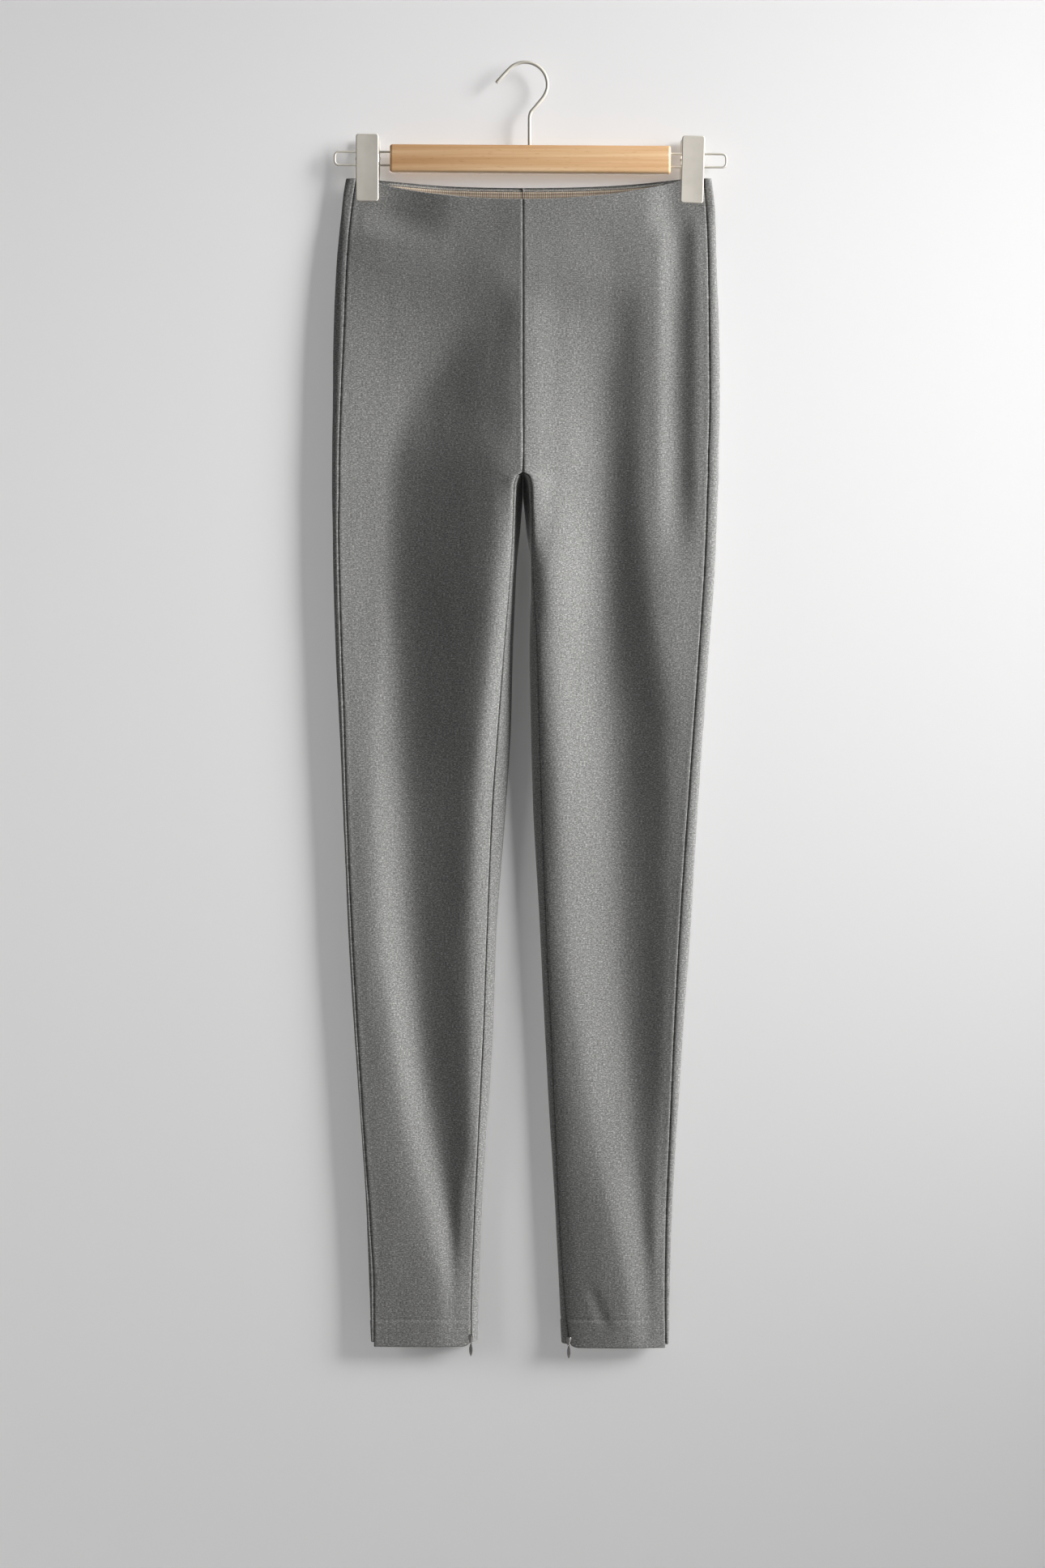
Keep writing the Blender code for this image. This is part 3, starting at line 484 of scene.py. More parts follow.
def curve_through(points, before, after):
    """Dense points on a smooth curve, and where each key point is among them."""
    keys = [Vector(p) for p in (before, *points, after)]
    made, marks = [], []
    for a, b, c, d in zip(keys, keys[1:], keys[2:], keys[3:]):
        first, span, last = (max((q - p).length, 0.01) ** 0.5 for p, q in ((a, b), (b, c), (c, d)))
        leaving = ((b - a) / first - (c - a) / (first + span) + (c - b) / span) * span
        arriving = ((c - b) / span - (d - b) / (span + last) + (d - c) / last) * span
        marks.append(len(made))
        made += interpolate_bezier(b, b + leaving / 3, c - arriving / 3, c, KEY_STEPS + 1)[:-1]
    marks.append(len(made))
    made.append(keys[-2])
    return made, marks


def section_keys(side, z):
    """The key points of a section, from the centre or inseam round the front to the back."""
    front, back = (read_table(rows, z) for rows in SIDES[side])
    below = z < FORK_Z
    centre = CENTRE_X + OUT[side] * 0.1
    start = (front.inseam if below else centre, front.inseam_y)
    corner = (back.corner if below else centre, back.corner_y)
    wide = corner[0] - back.edge
    strip = abs(back.edge - front.seam)
    keys = [
        start,
        (front.crest, front.crest_y),
        (front.trough, front.trough_y),
        (front.ridge, front.ridge_y),
        (front.seam, front.seam_y),
        (0.4 * front.seam + 0.6 * back.edge, front.seam_y + EDGE_FALL[0] * strip),
        (back.edge, front.seam_y + EDGE_FALL[1] * strip),
        (back.edge + 0.03 * wide, 0.62 * back.flank),
        (back.edge + 0.16 * wide, back.flank),
        (back.edge + 0.5 * wide, back.back),
        (back.edge + 0.85 * wide, 0.7 * back.back + 0.3 * back.corner_y),
        corner,
    ]
    if below:
        keys += [(back.inner, (front.inseam_y + back.corner_y) / 2), start]
    elif back.wrap:
        keys.append((centre, back.corner_y + back.wrap * (front.inseam_y - back.corner_y)))
    return [Vector(key) for key in keys], below, back.wrap


# %% [markdown]
# ## Folds, clip pinches and the loose waist edge
# Each clip presses the cloth flat under its foot, and the press fades out to the sides and
# downwards. Each larger fold is a line across the front or the back with a width and a depth.
# Between the clips the edge hangs free, the front lower than the back, which is why the
# elastic tape inside the back can be seen.

# %% Folds and pinches
Fold = namedtuple("Fold", "x0 z0 x1 z1 half deep")  # a positive depth is a trough
FRONT_FOLDS = {
    "left": [
        Fold(-60, -560, -66, -760, 22, 0.5),
    ],
    "right": [
        Fold(133, -60, 132, -450, 18, 4.2),
        Fold(56, -1052, 72, -1094, 8, 0.9),
    ],
}
BACK_FOLDS = {
    "left": [
        Fold(-100, -380, -60, -352, 16, -2.0),
        Fold(-112, -130, -104, -300, 14, -1.4),
        Fold(-90, -1060, -112, -700, 20, -1.6),
        Fold(-60, -700, -78, -420, 18, 1.6),
    ],
    "right": [
        Fold(96, -384, 54, -352, 16, -2.0),
        Fold(116, -135, 110, -330, 15, -1.6),
        Fold(80, -1070, 104, -690, 20, -1.6),
        Fold(52, -720, 74, -430, 18, 1.6),
    ],
}
# the clips' press: its middle, how thin it holds the cloth, how far it is full and where it
# ends to the sides, and the heights between which it lets go
PINCH_X = {"left": -134.9, "right": 144.4}
PINCH_Y = 2.5
PINCH_FLAT, PINCH_END = 10.0, {"left": 74.0, "right": 42.0}
PINCH_LOW, PINCH_FREE = -119.0, -152.0
WAIST_Z, WAIST_FADE = -99.0, 126.0
SAG_CENTRE, SAG_HALF, SAG_POWER = 1.0, 138.0, 0.85
SAG_FRONT, SAG_BACK = 19.4, 7.2


def fold_depth(folds, x, z):
    deep = 0.0
    for fold in folds:
        t = (z - fold.z0) / (fold.z1 - fold.z0)
        if 0 < t < 1:
            middle = fold.x0 + t * (fold.x1 - fold.x0)
            deep += fold.deep * bell((x - middle) / fold.half) * smooth_rise(4 * min(t, 1 - t))
    return deep


def shaped(point, on_front, side, z):
    """A section's point after the folds and the clip's press."""
    x, y = point
    if on_front:
        y += fold_depth(FRONT_FOLDS[side], x, z)
    elif y > 4:
        y -= fold_depth(BACK_FOLDS[side], x, z)
    end = PINCH_END[side]
    pressed = smooth_rise((end - abs(x - PINCH_X[side])) / (end - PINCH_FLAT))
    pressed *= smooth_rise((z - PINCH_FREE) / (PINCH_LOW - PINCH_FREE))
    x = min(x, CENTRE_X - 0.1) if side == "left" else max(x, CENTRE_X + 0.1)
    return Vector((x, y + pressed * (max(-PINCH_Y, min(PINCH_Y, y)) - y)))


def section(side, z):
    """Dense points and outward normals of a section, and the index of its side seam."""
    keys, below, wrap = section_keys(side, z)
    out = OUT[side]
    if below:
        before, after = keys[-2], keys[1]
    else:
        before = Vector((2 * keys[0].x - keys[1].x, keys[1].y))
        after = 2 * keys[-1] - keys[-2]
        if not wrap:
            after.y = keys[-2].y
    points, marks = curve_through(keys, before, after)
    seam = marks[SEAM_KEY]
    points = [shaped(p, i <= seam, side, z) for i, p in enumerate(points)]
    ways = [(q - p).normalized() for p, q in zip(points, points[1:])]
    if below:
        first = last = (ways[0] + ways[-1]).normalized()
    else:
        first = Vector((out, 0.0))
        last = Vector((0.0, -1.0)) if wrap else Vector((-out, 0.0))
    tangents = [first, *((a + b).normalized() for a, b in zip(ways, ways[1:])), last]
    return points, [Vector((-t.y, t.x)) * -out for t in tangents], seam


def sagged(x, y, z, front_side):
    """A point in the round, lowered where the waist edge hangs free between the clips."""
    free = max(0.0, 1 - ((x - SAG_CENTRE) / SAG_HALF) ** 2) ** SAG_POWER
    near = smooth_rise(1 - (WAIST_Z - z) / WAIST_FADE)
    return Vector((x, y, z - (SAG_FRONT if front_side else SAG_BACK) * free * near))


widest = [max(abs(p.x) for p in section(side, -354)[0]) for side in SIDES]
print("half widths at the fork, mm:", [round(w, 1) for w in widest])

# %% [markdown]
# ## Cutting the cloth into points
# Each panel becomes a grid: rows are heights, columns are distances along the section. The
# columns crowd together at the seams and the rows at the waist and hem, where the cloth
# rolls under. Away from them they are about 3 mm apart, enough for the folds.
#
# At a seam the cloth turns in, which leaves a dark groove, and stands up in a soft roll
# beside it. Sewing also puckers that roll a little every few millimetres. The turned-up hem
# is twice as thick, so it stands out in a small ledge, and shows its row of blind stitches
# as a faint dimpled line. Near the waist the cloth is held flat and the ripples fade out.

# %% Grid positions and fine relief
WALL, HEM_WALL = 1.15, 2.5
HEM_TOP = -1084.0
FORK_GAP = 1.5  # no row lies nearer the fork than this
GROOVE_DEEP, GROOVE_WIDE = 1.05, 0.45
ROLL_UP, ROLL_AT = 0.15, 2.4
PUCKER, PUCKER_LONG = 0.16, 7.5
BROAD_RIPPLE, BROAD_LONG = 0.42, 95.0
FINE_RIPPLE, FINE_LONG = 0.16, 34.0
STITCH_DEEP, STITCH_LONG, LEDGE = 0.3, 4.5, 0.4
WAIST_ROUND, HEM_ROUND = 0.7, 1.1
EDGE_SPOTS = [0.0, 0.35, 0.8, 1.3, 1.9, 2.7, 3.7, 5.0]
TOP_SPOTS = [0.0, 0.25, 0.6, 1.1, 1.8, 2.8, 4.0, 6.0, 8.5]
HEM_SPOTS = [0.0, 0.2, 0.55, 1.1, 1.8, 3.0, 5.0, 7.5]
FRONT_SPAN, BACK_SPAN, ROW_STEP = 56, 72, 4.0


def evenly(low, high, count):
    return [low + (high - low) * i / count for i in range(count + 1)]


def heights_of(side):
    """The heights of the rows, from the waist to the hem."""
    foot = FOOT[side]
    top = [WAIST_Z - spot for spot in TOP_SPOTS]
    above, below, hem_start = FORK_Z + FORK_GAP, FORK_Z - FORK_GAP, HEM_TOP + 4
    pelvis = evenly(top[-1], above, round((top[-1] - above) / ROW_STEP))
    leg = evenly(below, hem_start, round((below - hem_start) / ROW_STEP))
    stitched = [HEM_TOP + step for step in (2.6, 1.6, 0.8, 0.0, -0.8, -1.6, -2.6)]
    hem = evenly(HEM_TOP - 4, foot + 9.0, 2) + [foot + spot for spot in reversed(HEM_SPOTS)]
    return [*top, *pelvis[1:], *leg, *stitched, *hem]


def spots_along(length, span):
    """Distances of the columns along a run of cloth."""
    middle = evenly(EDGE_SPOTS[-1], length - EDGE_SPOTS[-1], span)
    return [*EDGE_SPOTS[:-1], *middle, *[length - spot for spot in reversed(EDGE_SPOTS[:-1])]]


def distances(points):
    """How far each point is along a run of dense points."""
    lengths = [0.0]
    for p, q in zip(points, points[1:]):
        lengths.append(lengths[-1] + (q - p).length)
    return lengths


def place_at(points, normals, lengths, spot):
    """The point and the normal at a distance along a run of dense points."""
    at = min(max(bisect_right(lengths, spot), 1), len(lengths) - 1)
    share = (spot - lengths[at - 1]) / max(lengths[at] - lengths[at - 1], 1e-9)
    normal = normals[at - 1].lerp(normals[at], share).normalized()
    return points[at - 1].lerp(points[at], share), normal


def run_of(points, normals, span):
    """Points, normals and distances of the columns along a run of dense points."""
    lengths = distances(points)
    return [
        (*place_at(points, normals, lengths, spot), spot, lengths[-1] - spot)
        for spot in spots_along(lengths[-1], span)
    ]


def seam_roll(d):
    """How far the cloth stands out beside a seam, in mm; negative where it turns in."""
    groove = GROOVE_DEEP * math.exp(-((d / GROOVE_WIDE) ** 2))
    return ROLL_UP * bell((d - ROLL_AT) / ROLL_AT) - groove


def ripple(x, y, z, size, seed):
    """Smooth noise between about -1 and 1; size is the length of a lump, down the cloth."""
    return noise.noise(Vector((2.4 * x / size, 2.4 * y / size, z / size + seed)))


def edge_turn(d, radius):
    """How far the cloth has turned in, a distance from a folded edge."""
    return radius - math.sqrt(max(0.0, radius**2 - max(0.0, radius - d) ** 2))


def relief(x, y, z, to_start, to_end, side):
    """The fine relief of the outer face, in mm."""
    near = min(to_start, to_end)
    out = seam_roll(near) * (1 + 0.3 * ripple(x, y, z, 9.0, 7.0))
    out += PUCKER * ripple(x, y, z, PUCKER_LONG, 3.0) * bell((near - 2.5) / 5.0)
    soft = smooth_rise((WAIST_Z - z - 8.0) / 40.0)
    broad = BROAD_RIPPLE * ripple(x, y, z, BROAD_LONG, 11.0)
    out += soft * (broad + FINE_RIPPLE * ripple(x, y, z, FINE_LONG, 19.0))
    prick = 0.65 + 0.35 * math.cos(2 * math.pi * x / STITCH_LONG)
    out -= STITCH_DEEP * prick * bell((z - HEM_TOP - 0.6) / 1.8)
    out += LEDGE * smooth_rise((HEM_TOP - z) / 1.6)
    out -= edge_turn(WAIST_Z - z, WAIST_ROUND)
    out -= edge_turn(z - FOOT[side], HEM_ROUND)
    return out


def flat(normal):
    """A section's normal as a direction in the round."""
    return Vector((normal.x, normal.y, 0.0))


def wall_at(z):
    """The cloth's thickness: two layers in the hem."""
    return WALL + (HEM_WALL - WALL) * smooth_rise((HEM_TOP - 0.8 - z) / 2.0)


print("rows of the left leg:", len(heights_of("left")))

# %% [markdown]
# ## Hem corners
# At the end of each ankle zip the front's hem is caught up towards the slider in a small
# round corner, and the back's hem sits higher than the front's.

# %% Hem corners
HEM_BACK_UP = {"left": 4.0, "right": 3.0}
HEM_CORNER, HEM_CORNER_UP = 8.0, 5.6
HEM_LIFT_FADE = 30.0


def hem_lift(side, face, z, to_zip):
    """How far a point near the hem is raised, in mm."""
    near = smooth_rise(1 - (z - FOOT[side]) / HEM_LIFT_FADE)
    if face == "back":
        return near * HEM_BACK_UP[side]
    t = max(0.0, 1 - to_zip / HEM_CORNER)
    return near * HEM_CORNER_UP * (1 - math.sqrt(max(0.0, 1 - t * t)))


# %% [markdown]
# ## Making a panel
# A panel is a closed thin shell: an outer grid, an inner grid a cloth's thickness inside it,
# and four rims. Building both faces by hand, where Solidify could do it, lets the hem be
# twice as thick. The UV map holds metres along the cloth, for the jersey's pattern.

# %% Build the panels


def panel_grids(side):
    """For the front and the back: rows of (outer point, inner point, u, v)."""
    grids = {"front": [], "back": []}
    for z in heights_of(side):
        points, normals, seam = section(side, z)
        runs = {
            "front": run_of(points[: seam + 1], normals[: seam + 1], FRONT_SPAN),
            "back": run_of(points[seam:], normals[seam:], BACK_SPAN),
        }
        for face, run in runs.items():
            row = []
            for point, normal, to_start, to_end in run:
                out = relief(point.x, point.y, z, to_start, to_end, side)
                to_zip = to_start if face == "front" else to_end
                lift = hem_lift(side, face, z, to_zip)
                middle = sagged(point.x, point.y, z + lift, face == "front")
                way = flat(normal)
                along = to_end if face == "front" else to_start
                pair = (middle + way * out, middle + way * (out - wall_at(z)))
                row.append((*pair, OUT[side] * along, z))
            grids[face].append(row)
    return grids


def shell_mesh(name, grid):
    """A closed shell from rows of (outer, inner, u, v), with a UV map called cloth."""
    shape = bmesh.new()
    layer = shape.loops.layers.uv.new("cloth")
    sheets = [
        [[shape.verts.new(cell[face] * MM) for cell in row] for row in grid] for face in (0, 1)
    ]
    place = {}
    for sheet in sheets:
        for verts, row in zip(sheet, grid):
            place.update({v: (cell[2] * MM, cell[3] * MM) for v, cell in zip(verts, row)})
    quads = []
    for sheet in sheets:
        for up, down in zip(sheet, sheet[1:]):
            quads += zip(up, up[1:], down[1:], down)
    rims = [(sheets[0][end], sheets[1][end]) for end in (0, -1)]
    rims += [[[row[end] for row in sheet] for sheet in sheets] for end in (0, -1)]
    for one, other in rims:
        quads += zip(one, one[1:], other[1:], other)
    for corners in quads:
        face = shape.faces.new(corners)
        face.smooth = True
        for loop in face.loops:
            loop[layer].uv = place[loop.vert]
    bmesh.ops.recalc_face_normals(shape, faces=shape.faces)
    mesh = bpy.data.meshes.new(name)
    shape.to_mesh(mesh)
    shape.free()
    return mesh


def show(name, mesh, finish, node=None, body=BODY):
    """Adds a finished mesh that rides on a body, for a node of the CAD."""
    made = put(bpy.data.objects.new(name, mesh))
    if finish:
        mesh.materials.clear()
        mesh.materials.append(finish)
    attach(made, body)
    if node:
        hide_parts(node)
    return made


def area_of(grid):
    """The area of a grid's outer face, in square metres."""
    total = 0.0
    for up, down in zip(grid, grid[1:]):
        for a, b, c, d in zip(up, up[1:], down[1:], down):
            total += (c[0] - a[0]).cross(d[0] - b[0]).length / 2
    return total * MM * MM


grids = {side: panel_grids(side) for side in SIDES}
panels = {}
for side, faces in grids.items():
    for face, grid in faces.items():
        name = f"{face}_{side}"
        piece = show(f"cloth_{name}", shell_mesh(name, grid), jersey, name)
        panels[name] = piece
        print(name, "area", round(area_of(grid), 4), "m2,", len(piece.data.polygons), "faces")

# %% [markdown]
# ## The cloth as cut
# Each panel is a sheet that was cut flat: about 165 mm wide at the hip, narrowing to the
# ankle, and as long as the leg with 23 mm more to turn up at the hem.

# %% [markdown]
# ## Waist tape
# The elastic tape is sewn inside the waist edge all round, 4 mm below it. It is cut from the
# same sections, one cloth's thickness further in, so it lies on the cloth's inner face. Only
# the stretch between the clips is made, because inside the pressed side folds nothing shows.

# %% Waist tape
TAPE_TOP, TAPE_DEEP, TAPE_THICK, TAPE_REACH = 3.6, 10.0, 0.7, 121.0


def face_run(side, z, face):
    """The points and normals of a section's front or back."""
    points, normals, seam = section(side, z)
    run = list(zip(points, normals))
    return run[: seam + 1] if face == "front" else run[seam:]


def tape_cell(middle, normal, inwards, thick, u, v):
    """A cell of a tape that lies inwards of the cloth's outer face."""
    way = flat(normal)
    return (middle - way * inwards, middle - way * (inwards + thick), u, v)


def tape_grid(face):
    """Rows of a tape along the inside of the waist, from left to right."""
    grid = []
    for z in evenly(WAIST_Z - TAPE_TOP, WAIST_Z - TAPE_TOP - TAPE_DEEP, 8):
        row = []
        for side in SIDES:
            for p, n in face_run(side, z, face):
                if abs(p.x - SAG_CENTRE) < TAPE_REACH and abs(p.x - CENTRE_X) > 0.4:
                    inwards = WALL + 0.25 + 0.25 * ripple(p.x, p.y, z, 12.0, 31.0)
                    middle = sagged(p.x, p.y, z, face == "front")
                    row.append(tape_cell(middle, n, inwards, TAPE_THICK, p.x, z))
        row.sort(key=lambda cell: cell[2])
        grid.append(row)
    fewest = min(len(row) for row in grid)
    return [row[:fewest] for row in grid]


for face in ("front", "back"):
    grid = tape_grid(face)
    name = f"elastic_{face}"
    piece = show(name, shell_mesh(name, grid), elastic, f"waist_tape_{face}")
    print("elastic", face, "columns", len(grid[0]), "area", round(area_of(grid), 5))

# %% [markdown]
# ## Zip tapes
# Behind each ankle zip is a tape 108 mm long that both edges of the cloth are sewn to. It
# closes the gap at the seam, and the coil and the slider sit on its middle.

# %% Zip tapes
ZIP_TOP, ZIP_FOOT, ZIP_HALF, ZIP_THICK = -994.0, -1104.0, 6.0, 0.5


def zip_tape_grid(side):
    """Rows of a tape that reaches ZIP_HALF to each side of the inseam."""
    grid = []
    for z in evenly(ZIP_TOP, ZIP_FOOT + hem_lift(side, "back", ZIP_FOOT, 0.0), 26):
        points, normals, _ = section(side, z)
        lengths = distances(points)
        row = []
        for along in evenly(-ZIP_HALF, ZIP_HALF, 14):
            p, n = place_at(points, normals, lengths, along % lengths[-1])
            middle = Vector((p.x, p.y, z))
            row.append(tape_cell(middle, n, wall_at(z) + 0.1, ZIP_THICK, along, z))
        grid.append(row)
    return grid


for side in SIDES:
    grid = zip_tape_grid(side)
    name = f"zip_backing_{side}"
    piece = show(name, shell_mesh(name, grid), jersey, f"zip_tape_{side}")

# %% [markdown]
# ## Geometry Nodes: one small thing along a path
# Stitches, zip teeth and the turns of a spring all repeat along a path. One node tree does
# it: resample the path to a spacing, put a small mesh on each point, turned to follow the
# path, then realise the copies and give them a material. Its sizes are named inputs.

# %% A tree that repeats a small mesh along a path


def new_tree(name, inputs):
    """A tree with named inputs of given kinds, and the sockets that give them."""
    tree = bpy.data.node_groups.new(name, "GeometryNodeTree")
    for label, kind in inputs.items():
        tree.interface.new_socket(label, in_out="INPUT", socket_type=f"NodeSocket{kind}")
    tree.interface.new_socket("Geometry", in_out="OUTPUT", socket_type="NodeSocketGeometry")
    return tree, tree.nodes.new("NodeGroupInput").outputs


def end_tree(tree, geometry, finish):
    """Makes a tree's copies real, gives them a material and hands them out."""
    real = add_node(tree, "GeometryNodeRealizeInstances", {"Geometry": geometry})
    inputs = {"Geometry": real.outputs["Geometry"], "Material": finish}
    done = add_node(tree, "GeometryNodeSetMaterial", inputs)
    add_node(tree, "NodeGroupOutput", {"Geometry": done.outputs["Geometry"]})
    return tree


def repeat_tree(name, finish):
    """A tree that puts a unit along a path, at a spacing and a size."""
    kinds = {"Geometry": "Geometry", "Unit": "Object", "Spacing": "Float", "Size": "Float"}
    tree, given = new_tree(name, kinds)
    path = add_node(tree, "GeometryNodeResampleCurve", {
        "Curve": given["Geometry"], "Length": given["Spacing"],
    }, mode="LENGTH")
    curve = {"Curve": path.outputs["Curve"]}
    spots = add_node(tree, "GeometryNodeCurveToPoints", curve, mode="EVALUATED")
    unit = add_node(tree, "GeometryNodeObjectInfo", {"Object": given["Unit"]})
    # sockets 2 and 3 are the smallest and the largest share of the size
    limits = {"Seed": 5, 2: 0.88, 3: 1.12}
    share = add_node(tree, "FunctionNodeRandomValue", limits, data_type="FLOAT").outputs[1]
    size = add_node(tree, "ShaderNodeMath", {0: given["Size"], 1: share}, operation="MULTIPLY")
    copies = add_node(tree, "GeometryNodeInstanceOnPoints", {
        "Points": spots.outputs["Points"],
        "Instance": unit.outputs["Geometry"],
        "Rotation": spots.outputs["Rotation"],
        "Scale": size.outputs[0],
    })
    return end_tree(tree, copies.outputs["Instances"], finish)


def socket_id(tree, name):
    """The identifier of a tree's input, which a modifier's value is set by."""
    return next(
        item.identifier for item in tree.interface.items_tree
        if item.in_out == "INPUT" and item.name == name
    )


def path_object(name, paths):
    """A curve object of open poly lines; points are in millimetres."""
    curve = bpy.data.curves.new(name, "CURVE")
    curve.dimensions = "3D"
    curve.twist_mode = "Z_UP"
    for points in paths:
        spline = curve.splines.new("POLY")
        spline.points.add(len(points) - 1)
        for knot, point in zip(spline.points, points):
            knot.co = (*(Vector(point) * MM), 1.0)
    return put(bpy.data.objects.new(name, curve))


def run_tree(holder, tree, name, inputs):
    """Runs a tree on an object, and keeps only its result, as a plain mesh."""
    step = holder.modifiers.new("tree", "NODES")
    step.node_group = tree
    for label, value in inputs.items():
        step[socket_id(tree, label)] = value
    bpy.context.view_layer.update()
    graph = bpy.context.evaluated_depsgraph_get()
    mesh = bpy.data.meshes.new_from_object(holder.evaluated_get(graph))
    mesh.name = name
    bpy.data.objects.remove(holder, do_unlink=True)
    return mesh


def repeated(name, tree, unit, paths, spacing):
    """A mesh of units along some paths."""
    sizes = {"Unit": unit, "Spacing": spacing * MM, "Size": 1.0}
    return run_tree(path_object(f"{name}_path", paths), tree, name, sizes)


def loft(shape, rings, closed_ends=True):
    """Adds the faces between rings of corners in turn, and across the first and the last."""
    for a, b in zip(rings, rings[1:]):
        for k in range(len(a)):
            after = (k + 1) % len(a)
            shape.faces.new((a[k], a[after], b[after], b[k]))
    if closed_ends:
        shape.faces.new(list(reversed(rings[0])))
        shape.faces.new(rings[-1])


def tube(points, radius, sides=6, closed_ends=True):
    """A bmesh tube along points, all in millimetres; the radius may be one for each point."""
    shape = bmesh.new()
    points = [Vector(point) for point in points]
    rings, up = [], None
    for i, p in enumerate(points):
        way = (points[min(i + 1, len(points) - 1)] - points[max(i - 1, 0)]).normalized()
        if up is None:
            up = way.orthogonal().normalized()
        up = (up - way * up.dot(way)).normalized()
        over = way.cross(up)
        size = radius[i] if isinstance(radius, (list, tuple)) else radius
        ring = []
        for k in range(sides):
            turn = 2 * math.pi * k / sides
            spoke = up * math.cos(turn) + over * math.sin(turn)
            ring.append(shape.verts.new((p + spoke * size) * MM))
        rings.append(ring)
    loft(shape, rings, closed_ends)
    bmesh.ops.recalc_face_normals(shape, faces=shape.faces)
    for face in shape.faces:
        face.smooth = True
    return shape


def mesh_of(shape, name, sharp=None):
    """A bmesh as a mesh; with an angle, smooth but for the edges that turn by more."""
    if sharp:
        for face in shape.faces:
            face.smooth = True
    mesh = bpy.data.meshes.new(name)
    shape.to_mesh(mesh)
    shape.free()
    if sharp:
        mesh.set_sharp_from_angle(angle=math.radians(sharp))
    return mesh


def unit_object(name, shape):
    """A small mesh kept off the scene, for the tree to copy."""
    return bpy.data.objects.new(name, mesh_of(shape, name))


stitch_tree = repeat_tree("repeat_stitches", thread)
coil_tree = repeat_tree("repeat_zip_coil", zip_thread)
print("trees made:", stitch_tree.name, coil_tree.name)

# %% [markdown]
# ## Overlock thread at the waist edge
# The raw edge above the tape is bound with an overlock stitch. On the inside it shows as a
# band of small slanting loops, one every 1.5 mm. Each loop is a short bent tube of thread,
# and the tree lays the loops along the edge, just inside the cloth.

# %% Overlock thread


def waist_line(face, down, inwards):
    """A line inside the waist, a distance below the edge, from left to right."""
    z = WAIST_Z - down
    line = []
    for side in SIDES:
        for p, n in face_run(side, z, face):
            if abs(p.x - SAG_CENTRE) < TAPE_REACH:
                line.append(sagged(p.x, p.y, z, face == "front") - flat(n) * inwards)
    line.sort(key=lambda p: p.x)
    return line


LOOP_PATH = [(0, 0, 1.7), (-0.35, 0.15, 0.9), (-0.4, 0.5, -0.4), (-0.3, 0.9, -1.5), (0, 1.2, -1.7)]
LOOP_THREAD, LOOP_PITCH, LOOP_DOWN = 0.32, 1.5, 1.9
loop_unit = unit_object("overlock_loop", tube(LOOP_PATH, LOOP_THREAD, 5))
edges = [waist_line(face, LOOP_DOWN, WALL + 0.35) for face in ("back", "front")]
overlock = repeated("overlock_waist", stitch_tree, loop_unit, edges, LOOP_PITCH)
show("overlock_waist", overlock, None)
print("overlock faces:", len(overlock.polygons))

# %% [markdown]
# ## Zips
# The closed ankle zip shows as a fine dark coil in the groove of the inseam. Each tooth is a
# short bar of nylon across the groove, 1.3 mm apart. The slider is a small zinc body with
# rounded shoulders and a bridge, and its pull is a thin leaf with an eye at the top.

# %% Zip coils


def zip_line(side):
    line = []
    for z in evenly(ZIP_TOP - 2, FOOT[side] + 14, 60):
        points, normals, _ = section(side, z)
        middle = Vector((points[0].x, points[0].y, z))
        line.append(middle - flat(normals[0]) * (wall_at(z) + 0.05))
    return line


TOOTH_PATH = [(-0.9, 0, 0), (-0.3, 0, 0.12), (0.3, 0, -0.12), (0.9, 0, 0)]
TOOTH_THICK, TOOTH_PITCH = 0.3, 1.3
tooth_unit = unit_object("coil_tooth", tube(TOOTH_PATH, TOOTH_THICK, 5))
for side in SIDES:
    coil = repeated(f"zip_coil_{side}", coil_tree, tooth_unit, [zip_line(side)], TOOTH_PITCH)
    show(f"zip_coil_{side}", coil, None)
    print("zip coil", side, len(coil.polygons), "faces")

# %% Zip sliders and pulls
HINGES = {joint["name"].split("_")[0]: Vector(joint["pos_m"]) / MM for joint in frame["joints"]}
PULL_LONG, PULL_WIDE, PULL_THICK = 12.9, 1.5, 0.55
PULL_TOP, LEAF_TOP = 0.25, 1.9  # how far below the hinge the pull and its leaf begin
HEAD_RADIUS, HEAD_DOWN = 1.25, 1.5
EYE_RADIUS, EYE_Z, EYE_WIRE = 0.95, -1.5, 0.3
LEAF_START, LEAF_NARROW, LEAF_EDGE, LEAF_SWELL = -2.2, 0.25, 0.16, 0.08
BRIDGE_RADIUS, BRIDGE_WIRE = 1.5, 0.36
SHARP = 50  # edges that turn by more degrees than this stay crisp


def rounded_box(shape, size, centre, radius, segments=3):
    """Adds a block with rounded edges to a bmesh, in millimetres."""
    made = bmesh.ops.create_cube(shape, size=1.0)["verts"]
    bmesh.ops.scale(shape, vec=Vector(size) * MM, verts=made)
    bmesh.ops.translate(shape, vec=Vector(centre) * MM, verts=made)
    # a dict keeps the edges in one order, so that each run gives the same mesh
    edges = list(dict.fromkeys(edge for vert in made for edge in vert.link_edges))
    bmesh.ops.bevel(
        shape, geom=edges, offset=radius * MM, segments=segments, affect="EDGES", profile=0.5
    )


def add_tube(shape, points, radius, sides=8, closed_ends=True):
    """Adds a tube to a bmesh."""
    mesh = mesh_of(tube(points, radius, sides, closed_ends), "part")
    shape.from_mesh(mesh)
    bpy.data.meshes.remove(mesh)


